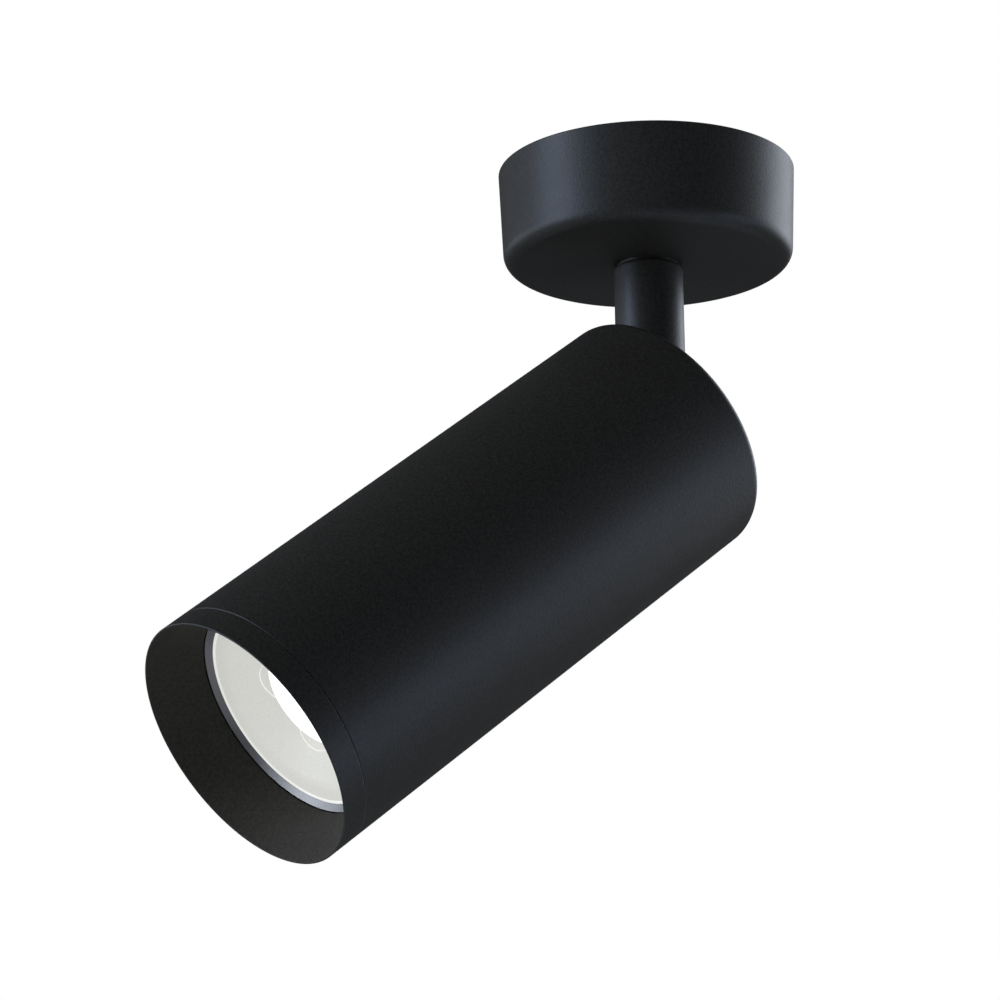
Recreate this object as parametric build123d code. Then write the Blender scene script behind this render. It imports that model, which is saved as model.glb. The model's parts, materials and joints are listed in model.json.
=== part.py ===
from build123d import *
import math
import os

# Surface mounted ceiling spotlight: a round canopy against the ceiling, a stem that turns in it,
# and a tubular head that tilts on a hinge at the lower end of the stem.
# Millimetres, +Z up. The origin is the centre of the ceiling face, on the stem's axis.
# The head's pieces are drawn pointing straight down from the hinge, then tilted about X
# to the angle they rest at, with the beam towards -Y.

# general clearances
press_gap = 0.05        # radial, between pieces that are pressed or screwed together
run_gap = 0.08          # radial, between a shaft and the hole it turns or slides in
slide_gap = 0.05        # axial, between faces that rub
free_gap = 0.3          # between pieces that lie near each other and move apart
cut_over = 1.0          # how far a cutting body stands past what it cuts

# screws of the usual small size
screw_head_r = 2.7
screw_head_height = 2.0
screw_socket_flats = 2.5
socket_floor_share = 0.4   # of a head's height, from its seat to the socket's floor
nut_corner_share = 0.6     # height over width of the turned-off corners

# canopy and stem
canopy_rim_r = 35.4
canopy_taper = 1.05      # how much smaller the radius is at the foot
canopy_height = 23.3
canopy_corner_r = 3.4
canopy_wall = 1.6
canopy_floor = 2.0
stem_r = 8.2
stem_wall = 1.2
stem_edge_r = 0.9
hinge_drop = 66.6       # ceiling to hinge axis
bush_flange = 0.5

# head
lamp_room = 3.0         # lamp to the head's bore, where the bezel's wall goes
head_wall = 1.5
rear_wall = 3.0
rear_edge_r = 1.8
rear_reach = 2.8        # hinge axis to the rear face
front_reach = 135.3     # hinge axis to the front rim
rest_tilt = 52.6        # degrees from straight down

# front bezel
bezel_length = 6.4
baffle_depth = 13.5
rim_land = 0.4          # flat front edge outside the baffle's mouth
throat_cover = 0.1      # how much of the lamp's edge the baffle hides
seam_bevel = 0.25
rim_round = 0.18
seal_width = 1.6
seal_height = 1.2
seal_depth = 9.6        # front rim to the seal's front edge

# lamp, a twist-and-lock reflector shape
lamp_gap = 0.1          # between the baffle's rear face and the lamp
lamp_r = 25.5
lamp_rim_width = 1.45
lamp_length = 47.5
lamp_rim_height = 3.2
lamp_rim_bevel = 1.35   # width of the rim's bevel
lamp_rim_fall = 1.0     # and its depth
lens_plate = 1.8
lens_lip_width = 0.6
lens_lip_height = 0.2
lens_wall = 1.2
dish_floor_r = 11.9
dish_depth = 4.8
dish_ledge = 0.6        # dish to the inner edge of the lens's flat back
diffuser_plate = 1.2
board_inset = 4.05       # lamp's face to the board's edge
board_plate = 1.1
board_margin = 1.0
lamp_skirt = 4.0
lamp_bulge_in = 3.2      # the taper's middle point, inwards from the rim
lamp_bulge_drop = 2.5    # and forwards from halfway
lamp_neck_r = 14.0
lamp_neck_length = 7.5
lamp_collar_draft = 0.6
lamp_collar_height = 2.5
lamp_collar_step = 0.6
lamp_base_r = 11.6
lamp_base_bevel = 0.8
pin_spacing = 10.0
pin_neck_r = 1.5
pin_neck_length = 3.6
pin_head_r = 2.5
pin_head_length = 3.2
pin_root = 4.0
twist_angle = 40.0

# lamp holder and its bracket
holder_r = 14.5
holder_height = 18.0
holder_face = 3.0
holder_edge = 1.0
holder_screw_x = 10.6
holder_screw_proud = 1.0
holder_sink_r = 3.0
holder_sink_depth = 5.0
bracket_plate = 1.5
bracket_width = 14.0
bracket_leg_x = 18.0
bracket_foot = 6.0
bracket_bend_r = 1.2
bracket_hole_r = 4.0
foot_screw_length = 5.0

# hinge at the head's rear
tongue_half = 4.0
tongue_r = 6.0
shoulder_rise = 5.6     # hinge axis to the underside of the knuckle's collar
collar_height = 7.0
collar_bevel = 0.6
shank_length = 14.0
shank_bevel = 0.8
knuckle_screw_length = 4.2
knuckle_screw_sink = 0.4
knuckle_socket_flats = 1.5
knuckle_socket_depth = 1.2
wire_bore_r = 2.6
washer_plate = 0.8
washer_r = 4.4
ear_plate = 2.4
ear_r = 4.6
yoke_reach = 10.2       # hinge axis to each end of the yoke's web
yoke_screw_y = 6.9
yoke_screw_length = 5.0
yoke_socket_flats = 2.0
yoke_socket_depth = 1.2
bolt_r = 2.0
bolt_head_r = 3.5
bolt_head_height = 2.1
nut_height = 2.2
nut_flats = 7.0
slot_half = 10.8
slot_land = 3.7         # head's side to the slot's upper end
block_depth = 13.0
pocket_floor = 10.0     # hinge axis to the floor of the block's pocket
block_screw_inset = 6.0  # head's bore to the screws' ring
block_screw_turn = 35.0  # degrees from the hinge axis
block_screw_bite = 1.8   # how far they go into the rear wall
wire_way_y = -17.0
wire_way_r = 4.0
light_pocket_width = 26.0
light_pocket_height = 9.0
light_pocket_depth = 9.0
light_pocket_y = 18.5
light_pocket_corner_r = 3.0

# swivel in the canopy floor
nipple_r = 5.0
nipple_bore_r = 3.6
nipple_grip = 10.0
nipple_bevel = 0.5
bush_r = 6.2
bush_flange_r = 7.4
friction_plate = 1.0
friction_r = 10.5
stop_plate = 1.0
stop_r = 9.5
stop_tab_reach = 15.4
stop_tab_half = 1.0
peg_ring = 14.0
peg_r = 1.2
peg_height = 3.4
spring_plate = 1.4      # height of the dished washer
spring_share = 0.55      # its sheet's share of that height
spring_r = 9.0
swivel_nut_height = 5.0
swivel_nut_flats = 17.0
nipple_proud = 1.0
sleeve_flange = 0.8
sleeve_grip = 4.0
sleeve_wall = 0.7
sleeve_bevel = 0.4

# ceiling bracket and terminal
strip_end_gap = 1.8     # bracket's turned-down end to the canopy's inner wall
strip_width = 26.0
strip_plate = 1.5
strip_corner_r = 4.0
end_width = 10.0
end_drop = 14.0
slot_pitch = 40.0
slot_length = 12.0
slot_width = 4.4
hook_reach = 1.0
hook_drop = 11.0
lug_width = 7.0
lug_bite = 2.2          # how far the lug reaches under the hook and the end above it
lug_height = 3.0
side_screw_drop = 9.0
side_screw_r = 1.5
side_screw_length = 8.0
side_screw_head_height = 1.7
side_screw_flats = 2.0
side_hole_gap = 0.2
terminal_length = 18.0
terminal_width = 10.0
terminal_height = 7.0
terminal_bevel = 1.0
tower_half = 2.2
tower_height = 1.6
pole_pitch = 10.0
wire_tube_r = 2.0
wire_tube_bore_r = 1.4
wire_tube_inset = 0.6
clamp_screw_pitch = 5.4
clamp_screw_sink = 0.5
clamp_groove_half = 0.25
clamp_groove_depth = 0.6
small_screw_r = 1.3
small_head_r = 2.2
small_head_height = 1.4
small_socket_flats = 1.5
earth_screw_y = -8.5
earth_screw_r = 2.0
earth_head_r = 3.6
earth_head_height = 2.2
earth_washer_r = 4.4
earth_washer_plate = 0.8

# sizes that follow
canopy_foot_r = canopy_rim_r - canopy_taper
strip_half = canopy_rim_r - canopy_wall - strip_end_gap
terminal_y = nipple_r + free_gap + terminal_width / 2
head_bore_r = lamp_r + lamp_room
head_r = head_bore_r + head_wall
baffle_mouth_r = head_r - rim_land
baffle_throat_r = lamp_r - throat_cover
lamp_face_r = lamp_r - lamp_rim_width
board_r = lamp_face_r - board_inset
slot_end = head_r - slot_land
block_screw_ring = head_bore_r - block_screw_inset
rear_inside = rear_reach - rear_wall
seam_z = -(front_reach - bezel_length)
rim_z = -front_reach
throat_z = rim_z + baffle_depth
lamp_front_z = throat_z + lamp_gap
lens_lip_z = lamp_front_z + lamp_rim_fall
lamp_face_z = lens_lip_z + lens_lip_height
lamp_back_z = lamp_front_z + lamp_length
holder_front_z = lamp_back_z + free_gap
holder_back_z = holder_front_z + holder_height
block_front_z = rear_inside - block_depth
floor_top_z = canopy_floor - canopy_height
stem_top_z = -canopy_height - bush_flange
collar_foot_z = shoulder_rise - hinge_drop
collar_top_z = collar_foot_z + collar_height
stem_bore_r = stem_r - stem_wall
ear_outside = tongue_half + slide_gap + washer_plate + ear_plate


def rod(radius, low, high):
    """A cylinder about Z between two heights."""
    base = (Align.CENTER, Align.CENTER, Align.MIN)
    return Pos(0, 0, low) * Cylinder(radius, high - low, align=base)


def tube(outer, inner, low, high):
    """A tube about Z between two heights."""
    return rod(outer, low, high) - rod(inner, low, high)


def turned(points):
    """The solid turned about Z from a closed outline of (radius, height) points."""
    outline = Plane.XZ * Polyline(*points, close=True)
    return revolve(make_face(outline), Axis.Z)


def block(x, y, z):
    """A box from three (low, high) pairs."""
    corner = (Align.MIN, Align.MIN, Align.MIN)
    size = Box(x[1] - x[0], y[1] - y[0], z[1] - z[0], align=corner)
    return Pos(x[0], y[0], z[0]) * size


def slot_bar(length, width, low, high):
    """An upright bar with round ends, long way along X."""
    return Pos(0, 0, low) * extrude(SlotOverall(length, width), high - low)


def hexagon(flats, low, high):
    """A six-sided bar about Z, measured across its flats."""
    face = RegularPolygon(flats / 2, 6, major_radius=False)
    return Pos(0, 0, low) * extrude(face, high - low)


def hex_nut(flats, hole_r, low, high):
    """A nut with its corners turned off at both ends."""
    corner = flats / 2 / math.cos(math.pi / 6)
    drop = (corner - flats / 2) * nut_corner_share
    round_r = corner - drop
    envelope = turned([
        (0, low), (round_r, low), (corner, low + drop), (corner, high - drop), (round_r, high), (0, high)
    ])
    return (hexagon(flats, low, high) & envelope) - rod(hole_r, low, high)


def cap_screw(shank_r, shank_length, top_r, top_height, socket_flats):
    """A screw along Z: its head stands above 0 with a hexagon socket, its shank goes down."""
    body = rod(top_r, 0, top_height) + rod(shank_r, -shank_length, 0)
    return body - hexagon(socket_flats, top_height * socket_floor_share, top_height)


def small_screw(shank_length):
    """The screw that most pieces are held by, along Z with its head above 0."""
    return cap_screw(side_screw_r, shank_length, screw_head_r, screw_head_height, screw_socket_flats)


def group(solids):
    """Several separate solids kept together as one node."""
    return Compound(children=list(solids))


def on_head(piece):
    """Moves a piece drawn about the hinge, pointing down, to the head's resting place."""
    return Pos(0, 0, -hinge_drop) * Rot(-rest_tilt, 0, 0) * piece


# ---- fixed to the ceiling ----

def canopy_radius(depth):
    """The canopy's outer radius at a depth below the ceiling."""
    return canopy_rim_r - canopy_taper * depth / canopy_height


def make_canopy_cup():
    # drawn cup: slightly tapered wall, flat floor, large outer corner, open to the ceiling
    shell = turned([(0, 0), (canopy_rim_r, 0), (canopy_foot_r, -canopy_height), (0, -canopy_height)])
    shell = fillet(shell.edges().filter_by(GeomType.CIRCLE).sort_by(Axis.Z)[0], canopy_corner_r)
    inner_foot_r = canopy_radius(canopy_height - canopy_floor) - canopy_wall
    hollow = turned([
        (0, 0), (canopy_rim_r - canopy_wall, 0), (inner_foot_r, floor_top_z), (0, floor_top_z)
    ])
    inner_bevel = canopy_corner_r - canopy_wall
    hollow = chamfer(hollow.edges().filter_by(GeomType.CIRCLE).sort_by(Axis.Z)[0], inner_bevel)
    shell -= hollow
    # lug inside the wall that rests on the bracket's hook
    lug_top = -hook_drop - strip_plate - free_gap
    lug_inner = strip_half + hook_reach - lug_bite
    wall_r = canopy_radius(-lug_top)
    lug = block((lug_inner, wall_r), (-lug_width / 2, lug_width / 2), (lug_top - lug_height, lug_top))
    lug &= rod(wall_r - canopy_wall / 2, lug_top - lug_height, lug_top)
    shell += lug
    # peg that stops the swivel
    shell += Pos(0, peg_ring, 0) * rod(peg_r, floor_top_z - canopy_floor / 2, floor_top_z + peg_height)
    shell -= rod(bush_r + press_gap, -canopy_height - cut_over, floor_top_z + cut_over)
    hole = Rot(0, -90, 0) * rod(side_screw_r + side_hole_gap, strip_half, canopy_rim_r + cut_over)
    return shell - Pos(0, 0, -side_screw_drop) * hole


def make_mounting_bracket():
    # pressed strip with both ends turned down, one tapped for the side screw and one hooked
    reach = strip_half - strip_plate
    plate = extrude(RectangleRounded(2 * reach, strip_width, strip_corner_r), -strip_plate)
    plate += block((-strip_half, strip_half), (-end_width / 2, end_width / 2), (-strip_plate, 0))
    for side in (-1, 1):
        faces = sorted((side * strip_half, side * (strip_half - strip_plate)))
        drop = end_drop if side < 0 else hook_drop + strip_plate
        plate += block(faces, (-end_width / 2, end_width / 2), (-drop, 0))
        plate -= Pos(side * slot_pitch / 2, 0, 0) * slot_bar(slot_length, slot_width, -strip_plate, 0)
    toe = (strip_half, strip_half + hook_reach)
    plate += block(toe, (-lug_width / 2, lug_width / 2), (-hook_drop - strip_plate, -hook_drop))
    tapped = rod(side_screw_r + press_gap, strip_half - strip_plate - cut_over, strip_half + cut_over)
    tapped = Rot(0, -90, 0) * tapped
    plate -= Pos(0, 0, -side_screw_drop) * tapped
    plate -= Pos(0, terminal_y, 0) * rod(small_screw_r + press_gap, -strip_plate, 0)
    plate -= Pos(0, earth_screw_y, 0) * rod(earth_screw_r + press_gap, -strip_plate, 0)
    return plate


def make_canopy_screw():
    screw = cap_screw(
        side_screw_r, side_screw_length, screw_head_r, side_screw_head_height, side_screw_flats
    )
    seat = canopy_radius(side_screw_drop - screw_head_r)
    return Pos(-seat, 0, -side_screw_drop) * Rot(0, -90, 0) * screw


def pole_places():
    """The centres of the terminal's two poles."""
    return [(-pole_pitch / 2, terminal_y), (pole_pitch / 2, terminal_y)]


def clamp_places():
    """The centres of the terminal's clamp screws."""
    return [(x, y + dy * clamp_screw_pitch / 2) for x, y in pole_places() for dy in (-1, 1)]


def make_terminal_block():
    top = -strip_plate
    low = top - terminal_height
    half_x = terminal_length / 2
    half_y = terminal_width / 2
    body = block((-half_x, half_x), (terminal_y - half_y, terminal_y + half_y), (low, top))
    body = chamfer(body.edges().filter_by(Axis.Z), terminal_bevel)
    for x, y in pole_places():
        reach = clamp_screw_pitch / 2 + tower_half
        body += block((x - tower_half, x + tower_half), (y - reach, y + reach), (low - tower_height, low))
    for x, y in pole_places():
        way = Pos(x, y, low + terminal_height / 2) * Rot(90, 0, 0)
        body -= way * rod(wire_tube_r + press_gap, -half_y, half_y)
    for x, y in clamp_places():
        body -= Pos(x, y, 0) * rod(small_screw_r + press_gap, low - tower_height, low + terminal_height / 2)
    body -= Pos(0, terminal_y, 0) * rod(small_screw_r + press_gap, low, top)
    return body


def make_terminal_tubes():
    # brass sleeves that the wires go into; the clamp screws end just above them
    mid = -strip_plate - terminal_height / 2
    reach = terminal_width / 2 - wire_tube_inset
    sleeve = Rot(90, 0, 0) * tube(wire_tube_r, wire_tube_bore_r, -reach, reach)
    return group([Pos(x, y, mid) * sleeve for x, y in pole_places()])


def make_terminal_screws():
    low = -strip_plate - terminal_height - tower_height + clamp_screw_sink
    tip = -strip_plate - terminal_height / 2 - wire_tube_r - press_gap
    screws = []
    for x, y in clamp_places():
        screw = rod(small_screw_r, low, tip)
        sides = (-clamp_groove_half, clamp_groove_half)
        groove = block((-small_screw_r, small_screw_r), sides, (low, low + clamp_groove_depth))
        screws.append(Pos(x, y, 0) * (screw - groove))
    return group(screws)


def make_terminal_fixing_screw():
    under = -strip_plate - terminal_height
    grip = terminal_height + strip_plate
    screw = cap_screw(small_screw_r, grip, small_head_r, small_head_height, small_socket_flats)
    return Pos(0, terminal_y, under) * Rot(180, 0, 0) * screw


def make_earth_screw():
    grip = strip_plate + earth_washer_plate
    screw = cap_screw(earth_screw_r, grip, earth_head_r, earth_head_height, screw_socket_flats)
    return Pos(0, earth_screw_y, -grip) * Rot(180, 0, 0) * screw


def make_earth_washer():
    low = -strip_plate - earth_washer_plate
    ring = tube(earth_washer_r, earth_screw_r + press_gap, low, -strip_plate)
    return Pos(0, earth_screw_y, 0) * ring


def make_stem_bush():
    # flanged sleeve that the swivel turns in; its flange is the dark line above the stem
    bore = nipple_r + run_gap
    return turned([
        (bore, -canopy_height - bush_flange + slide_gap),
        (bush_flange_r, -canopy_height - bush_flange + slide_gap),
        (bush_flange_r, -canopy_height),
        (bush_r, -canopy_height),
        (bush_r, floor_top_z),
        (bore, floor_top_z),
    ])


def make_pan_friction_washer():
    return tube(friction_r, nipple_r + run_gap, floor_top_z, floor_top_z + friction_plate)


# ---- turns with the stem ----

stop_low_z = floor_top_z + friction_plate + slide_gap
spring_low_z = stop_low_z + stop_plate
nut_low_z = spring_low_z + spring_plate
nut_top_z = nut_low_z + swivel_nut_height
nipple_top_z = nut_top_z + nipple_proud


def make_stem_tube():
    body = rod(stem_r, collar_top_z, stem_top_z)
    body = fillet(body.edges().filter_by(GeomType.CIRCLE).sort_by(Axis.Z)[-1], stem_edge_r)
    body -= rod(stem_bore_r, collar_top_z, stem_top_z)
    return body - knuckle_screw_hole(stem_bore_r - cut_over)


def make_stem_top_insert():
    # threaded end piece pressed into the tube, flush with its top
    low = stem_top_z - nipple_grip
    return tube(stem_bore_r - press_gap, nipple_r + press_gap, low, stem_top_z)


def make_stem_nipple():
    low = stem_top_z - nipple_grip
    pipe = tube(nipple_r, nipple_bore_r, low, nipple_top_z)
    return chamfer(pipe.edges().filter_by(GeomType.CIRCLE).sort_by(Axis.Z)[-1], nipple_bevel)


def make_pan_stop_washer():
    high = stop_low_z + stop_plate
    plate = rod(stop_r, stop_low_z, high)
    plate += block((-stop_tab_half, stop_tab_half), (-stop_tab_reach, 0), (stop_low_z, high))
    return plate - rod(nipple_r + press_gap, stop_low_z, high)


def make_pan_spring_washer():
    # dished spring washer: thin cone that the nut presses nearly flat
    plate = spring_plate * spring_share
    rise = spring_plate - plate
    inner = nipple_r + press_gap
    return turned([
        (inner, spring_low_z + rise),
        (spring_r, spring_low_z),
        (spring_r, spring_low_z + plate),
        (inner, spring_low_z + plate + rise),
    ])


def make_pan_nut():
    return hex_nut(swivel_nut_flats, nipple_r + press_gap, nut_low_z, nut_top_z)


def make_cable_bush():
    sleeve_r = nipple_bore_r - press_gap
    bore = sleeve_r - sleeve_wall
    low = nipple_top_z - sleeve_grip
    top = nipple_top_z + sleeve_flange
    return turned([
        (bore, low),
        (sleeve_r, low),
        (sleeve_r, nipple_top_z),
        (nipple_r, nipple_top_z),
        (nipple_r - sleeve_bevel, top),
        (bore + sleeve_bevel, top),
        (bore, top - sleeve_bevel),
    ])


knuckle_screw_z = collar_top_z + shank_length / 2


def knuckle_screw_hole(depth_r):
    """The tapped hole that goes in from the stem's rear side, down to a radius."""
    hole = rod(side_screw_r + press_gap, depth_r, stem_r + cut_over)
    return Pos(0, 0, knuckle_screw_z) * Rot(-90, 0, 0) * hole


def make_stem_knuckle():
    # shank in the tube, collar flush with it, and a tongue with a half-round end on the hinge
    body = rod(stem_bore_r - press_gap, collar_top_z, collar_top_z + shank_length)
    body = chamfer(body.edges().filter_by(GeomType.CIRCLE).sort_by(Axis.Z)[-1], shank_bevel)
    collar = rod(stem_r, collar_foot_z, collar_top_z)
    collar = chamfer(collar.edges().filter_by(GeomType.CIRCLE).sort_by(Axis.Z)[0], collar_bevel)
    body += collar
    tongue_top = (collar_foot_z + collar_top_z) / 2
    tongue = block((-tongue_half, tongue_half), (-tongue_r, tongue_r), (-hinge_drop, tongue_top))
    tongue += Pos(0, 0, -hinge_drop) * Rot(0, 90, 0) * rod(tongue_r, -tongue_half, tongue_half)
    body += tongue
    body -= Pos(0, 0, -hinge_drop) * Rot(0, 90, 0) * rod(bolt_r + run_gap, -stem_r, stem_r)
    # way for the wires: down the shank and out through the collar towards the slot
    turn_z = collar_foot_z + collar_height / 2
    body -= rod(wire_bore_r, turn_z, collar_top_z + shank_length)
    body -= Pos(0, 0, turn_z) * Rot(90, 0, 0) * rod(wire_bore_r, 0, stem_r + cut_over)
    return body - knuckle_screw_hole(wire_bore_r)


def make_knuckle_screw():
    top = stem_r - knuckle_screw_sink
    screw = rod(side_screw_r, top - knuckle_screw_length, top)
    screw -= hexagon(knuckle_socket_flats, top - knuckle_socket_depth, top)
    return Pos(0, 0, knuckle_screw_z) * Rot(-90, 0, 0) * screw


# ---- tilts with the head ----

def slot_cut(low, high):
    """The slot that the stem passes through, from just past the hinge to its upper end."""
    length = slot_half + slot_end
    middle = slot_half - length / 2
    return Pos(0, middle, 0) * Rot(0, 0, 90) * slot_bar(length, 2 * slot_half, low, high)


def make_head_housing():
    # one turned tube with a closed rear end, a slot through it and a bevelled front edge
    shell = rod(head_r, seam_z, rear_reach)
    shell = fillet(shell.edges().filter_by(GeomType.CIRCLE).sort_by(Axis.Z)[-1], rear_edge_r)
    shell = chamfer(shell.edges().filter_by(GeomType.CIRCLE).sort_by(Axis.Z)[0], seam_bevel)
    shell -= rod(head_bore_r, seam_z, rear_inside)
    shell -= slot_cut(rear_inside - cut_over, rear_reach + cut_over)
    tapped = rod(side_screw_r + press_gap, rear_inside, rear_inside + block_screw_bite + press_gap)
    for place in block_screw_places():
        shell -= place * tapped
    return on_head(shell)


def block_screw_places():
    """Four screws that hold the hinge block, clear of the slot."""
    turn = block_screw_turn
    angles = (-turn, turn, 180 - turn, 180 + turn)
    return [Rot(0, 0, angle) * Pos(block_screw_ring, 0, 0) for angle in angles]


def make_hinge_block():
    # cast disc behind the rear wall, with a pocket under the slot that the hinge sits in
    body = rod(head_bore_r - press_gap, block_front_z, rear_inside)
    body -= slot_cut(-pocket_floor, rear_inside)
    # wire way into the head, and a lightening pocket at the front
    body -= Pos(0, wire_way_y, 0) * rod(wire_way_r, block_front_z, -pocket_floor)
    for place in block_screw_places():
        body -= place * rod(side_screw_r + press_gap, block_front_z, rear_inside)
    for place in foot_places():
        body -= place * rod(side_screw_r + press_gap, block_front_z, block_front_z + foot_screw_length)
    for side in (-1, 1):
        body -= Pos(0, side * yoke_screw_y, 0) * rod(side_screw_r + press_gap, block_front_z, -pocket_floor)
    pocket = RectangleRounded(light_pocket_width, light_pocket_height, light_pocket_corner_r)
    pocket = extrude(pocket, light_pocket_depth)
    body -= Pos(0, light_pocket_y, block_front_z) * pocket
    return on_head(body)


def make_hinge_yoke():
    # pressed U in the pocket: web on its floor, two ears with round ends about the hinge
    inner = ear_outside - ear_plate
    web_top = ear_plate - pocket_floor
    yoke = Rot(0, 0, 90) * slot_bar(2 * yoke_reach, 2 * ear_outside, -pocket_floor, web_top)
    for side in (-1, 1):
        faces = sorted((side * inner, side * ear_outside))
        yoke += block(faces, (-ear_r, ear_r), (-pocket_floor, 0))
        yoke += Rot(0, 90, 0) * rod(ear_r, faces[0], faces[1])
    yoke -= Rot(0, 90, 0) * rod(bolt_r + press_gap, -ear_outside, ear_outside)
    for side in (-1, 1):
        place = Pos(0, side * yoke_screw_y, web_top)
        yoke -= place * rod(side_screw_r + press_gap, -ear_plate, 0)
        yoke -= place * sunk_head(press_gap)
    return on_head(yoke)


def sunk_head(spread):
    """A countersunk head's cone with its flat top at 0."""
    height = screw_head_r - side_screw_r
    return Pos(0, 0, -height / 2) * Cone(side_screw_r + spread, screw_head_r + spread, height)


def make_yoke_screws():
    screw = sunk_head(0) + rod(side_screw_r, -yoke_screw_length, 0)
    screw -= hexagon(yoke_socket_flats, -yoke_socket_depth, 0)
    seat = ear_plate - pocket_floor
    return group([on_head(Pos(0, side * yoke_screw_y, seat) * screw) for side in (-1, 1)])


def make_hinge_block_screws():
    screws = []
    screw = Rot(180, 0, 0) * small_screw(block_depth + block_screw_bite)
    for place in block_screw_places():
        screws.append(on_head(place * Pos(0, 0, block_front_z) * screw))
    return group(screws)


def make_hinge_bolt():
    grip = 2 * ear_outside + nut_height
    screw = cap_screw(bolt_r, grip, bolt_head_r, bolt_head_height, screw_socket_flats)
    return on_head(Rot(0, -90, 0) * Pos(0, 0, ear_outside) * screw)


def make_hinge_nut():
    nut = hex_nut(nut_flats, bolt_r + press_gap, ear_outside, ear_outside + nut_height)
    return on_head(Rot(0, 90, 0) * nut)


def make_hinge_washers():
    low = tongue_half + slide_gap
    ring = tube(washer_r, bolt_r + press_gap, low, low + washer_plate)
    return group([on_head(Rot(0, side * 90, 0) * ring) for side in (-1, 1)])


def foot_places():
    """Where the holder bracket's feet are screwed to the hinge block."""
    middle = bracket_leg_x + bracket_plate + bracket_foot / 2
    return [Pos(side * middle, 0, 0) for side in (-1, 1)]


def make_holder_bracket():
    # strip bent into a U with feet: web behind the lamp holder, legs back to the hinge block
    outer = bracket_leg_x + bracket_plate
    half = bracket_width / 2
    web = (holder_back_z, holder_back_z + bracket_plate)
    body = block((-outer, outer), (-half, half), web)
    for side in (-1, 1):
        leg = sorted((side * bracket_leg_x, side * outer))
        body += block(leg, (-half, half), (holder_back_z, block_front_z))
        foot = sorted((side * bracket_leg_x, side * (outer + bracket_foot)))
        body += block(foot, (-half, half), (block_front_z - bracket_plate, block_front_z))
    bends = body.edges().filter_by(Axis.Y).group_by(Axis.Z)[0]
    body = fillet(bends, bracket_bend_r)
    for place in foot_places():
        body -= place * rod(side_screw_r + press_gap, block_front_z - bracket_plate, block_front_z)
    for side in (-1, 1):
        body -= Pos(side * holder_screw_x, 0, 0) * rod(side_screw_r + press_gap, web[0], web[1])
    body -= rod(bracket_hole_r, web[0], web[1])
    return on_head(body)


def pin_arc(radius, low, high, start):
    """The space a pin of some radius sweeps as the lamp turns from a start angle to its free end."""
    path = CenterArc((0, 0), pin_spacing / 2, start, twist_angle)
    return Pos(0, 0, low) * extrude(SlotArc(path, 2 * radius), high - low)


def make_lamp_holder():
    # ceramic holder: two keyhole slots in its face, wider behind so that the pin heads turn and lock
    body = rod(holder_r, holder_front_z, holder_back_z)
    body = chamfer(body.edges().filter_by(GeomType.CIRCLE).sort_by(Axis.Z)[0], holder_edge)
    face_back = holder_front_z + holder_face
    pocket_back = face_back + pin_neck_length + pin_head_length
    for start in (0, 180):
        body -= pin_arc(pin_neck_r + free_gap, holder_front_z, face_back, start)
        body -= pin_arc(pin_head_r + free_gap, face_back, pocket_back, start)
        entry = Rot(0, 0, start + twist_angle) * Pos(pin_spacing / 2, 0, 0)
        body -= entry * rod(pin_head_r + free_gap, holder_front_z, face_back)
    for side in (-1, 1):
        through = Pos(side * holder_screw_x, 0, 0)
        body -= through * rod(side_screw_r + press_gap, holder_front_z, holder_back_z)
        body -= through * rod(holder_sink_r, holder_front_z, holder_front_z + holder_sink_depth)
    return on_head(body)


def make_holder_screws():
    seat = holder_front_z + holder_sink_depth
    grip = holder_back_z + bracket_plate + holder_screw_proud - seat
    screw = Rot(180, 0, 0) * small_screw(grip)
    return group([on_head(Pos(side * holder_screw_x, 0, seat) * screw) for side in (-1, 1)])


def make_bracket_screws():
    screw = Rot(180, 0, 0) * small_screw(bracket_plate + foot_screw_length)
    seat = Pos(0, 0, block_front_z - bracket_plate)
    return group([on_head(place * seat * screw) for place in foot_places()])


# ---- twists with the lamp ----

neck_low_z = lamp_back_z - lamp_neck_length
dish_r = board_r
dish_floor_z = lamp_face_z + dish_depth
lens_back_z = dish_floor_z + diffuser_plate
recess_z = lens_back_z + press_gap + board_plate


def make_lamp_body():
    # reflector-shaped body: short skirt, curved taper to the neck, front recess for board and lens
    ledge_z = lamp_face_z + lens_plate
    skirt_z = lamp_front_z + lamp_rim_height
    start = (lamp_r, skirt_z + lamp_skirt)
    finish = (lamp_neck_r, neck_low_z)
    middle = (lamp_r - lamp_bulge_in, (start[1] + finish[1]) / 2 - lamp_bulge_drop)
    recess_r = board_r + board_margin
    outline = [
        Polyline(finish, (0, neck_low_z), (0, recess_z), (recess_r, recess_z), (recess_r, ledge_z),
                 (lamp_face_r, ledge_z), (lamp_face_r, skirt_z), (lamp_r, skirt_z), start),
        ThreePointArc(start, middle, finish),
    ]
    face = make_face([Plane.XZ * line for line in outline])
    return on_head(revolve(face, Axis.Z))


def make_lamp_rim():
    # ring with a wide inner bevel that frames the frosted face
    high = lamp_front_z + lamp_rim_height
    return on_head(turned([
        (lamp_r, high),
        (lamp_r, lamp_front_z),
        (lamp_face_r + lamp_rim_bevel, lamp_front_z),
        (lamp_face_r, lens_lip_z),
        (lamp_face_r, high),
    ]))


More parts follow.
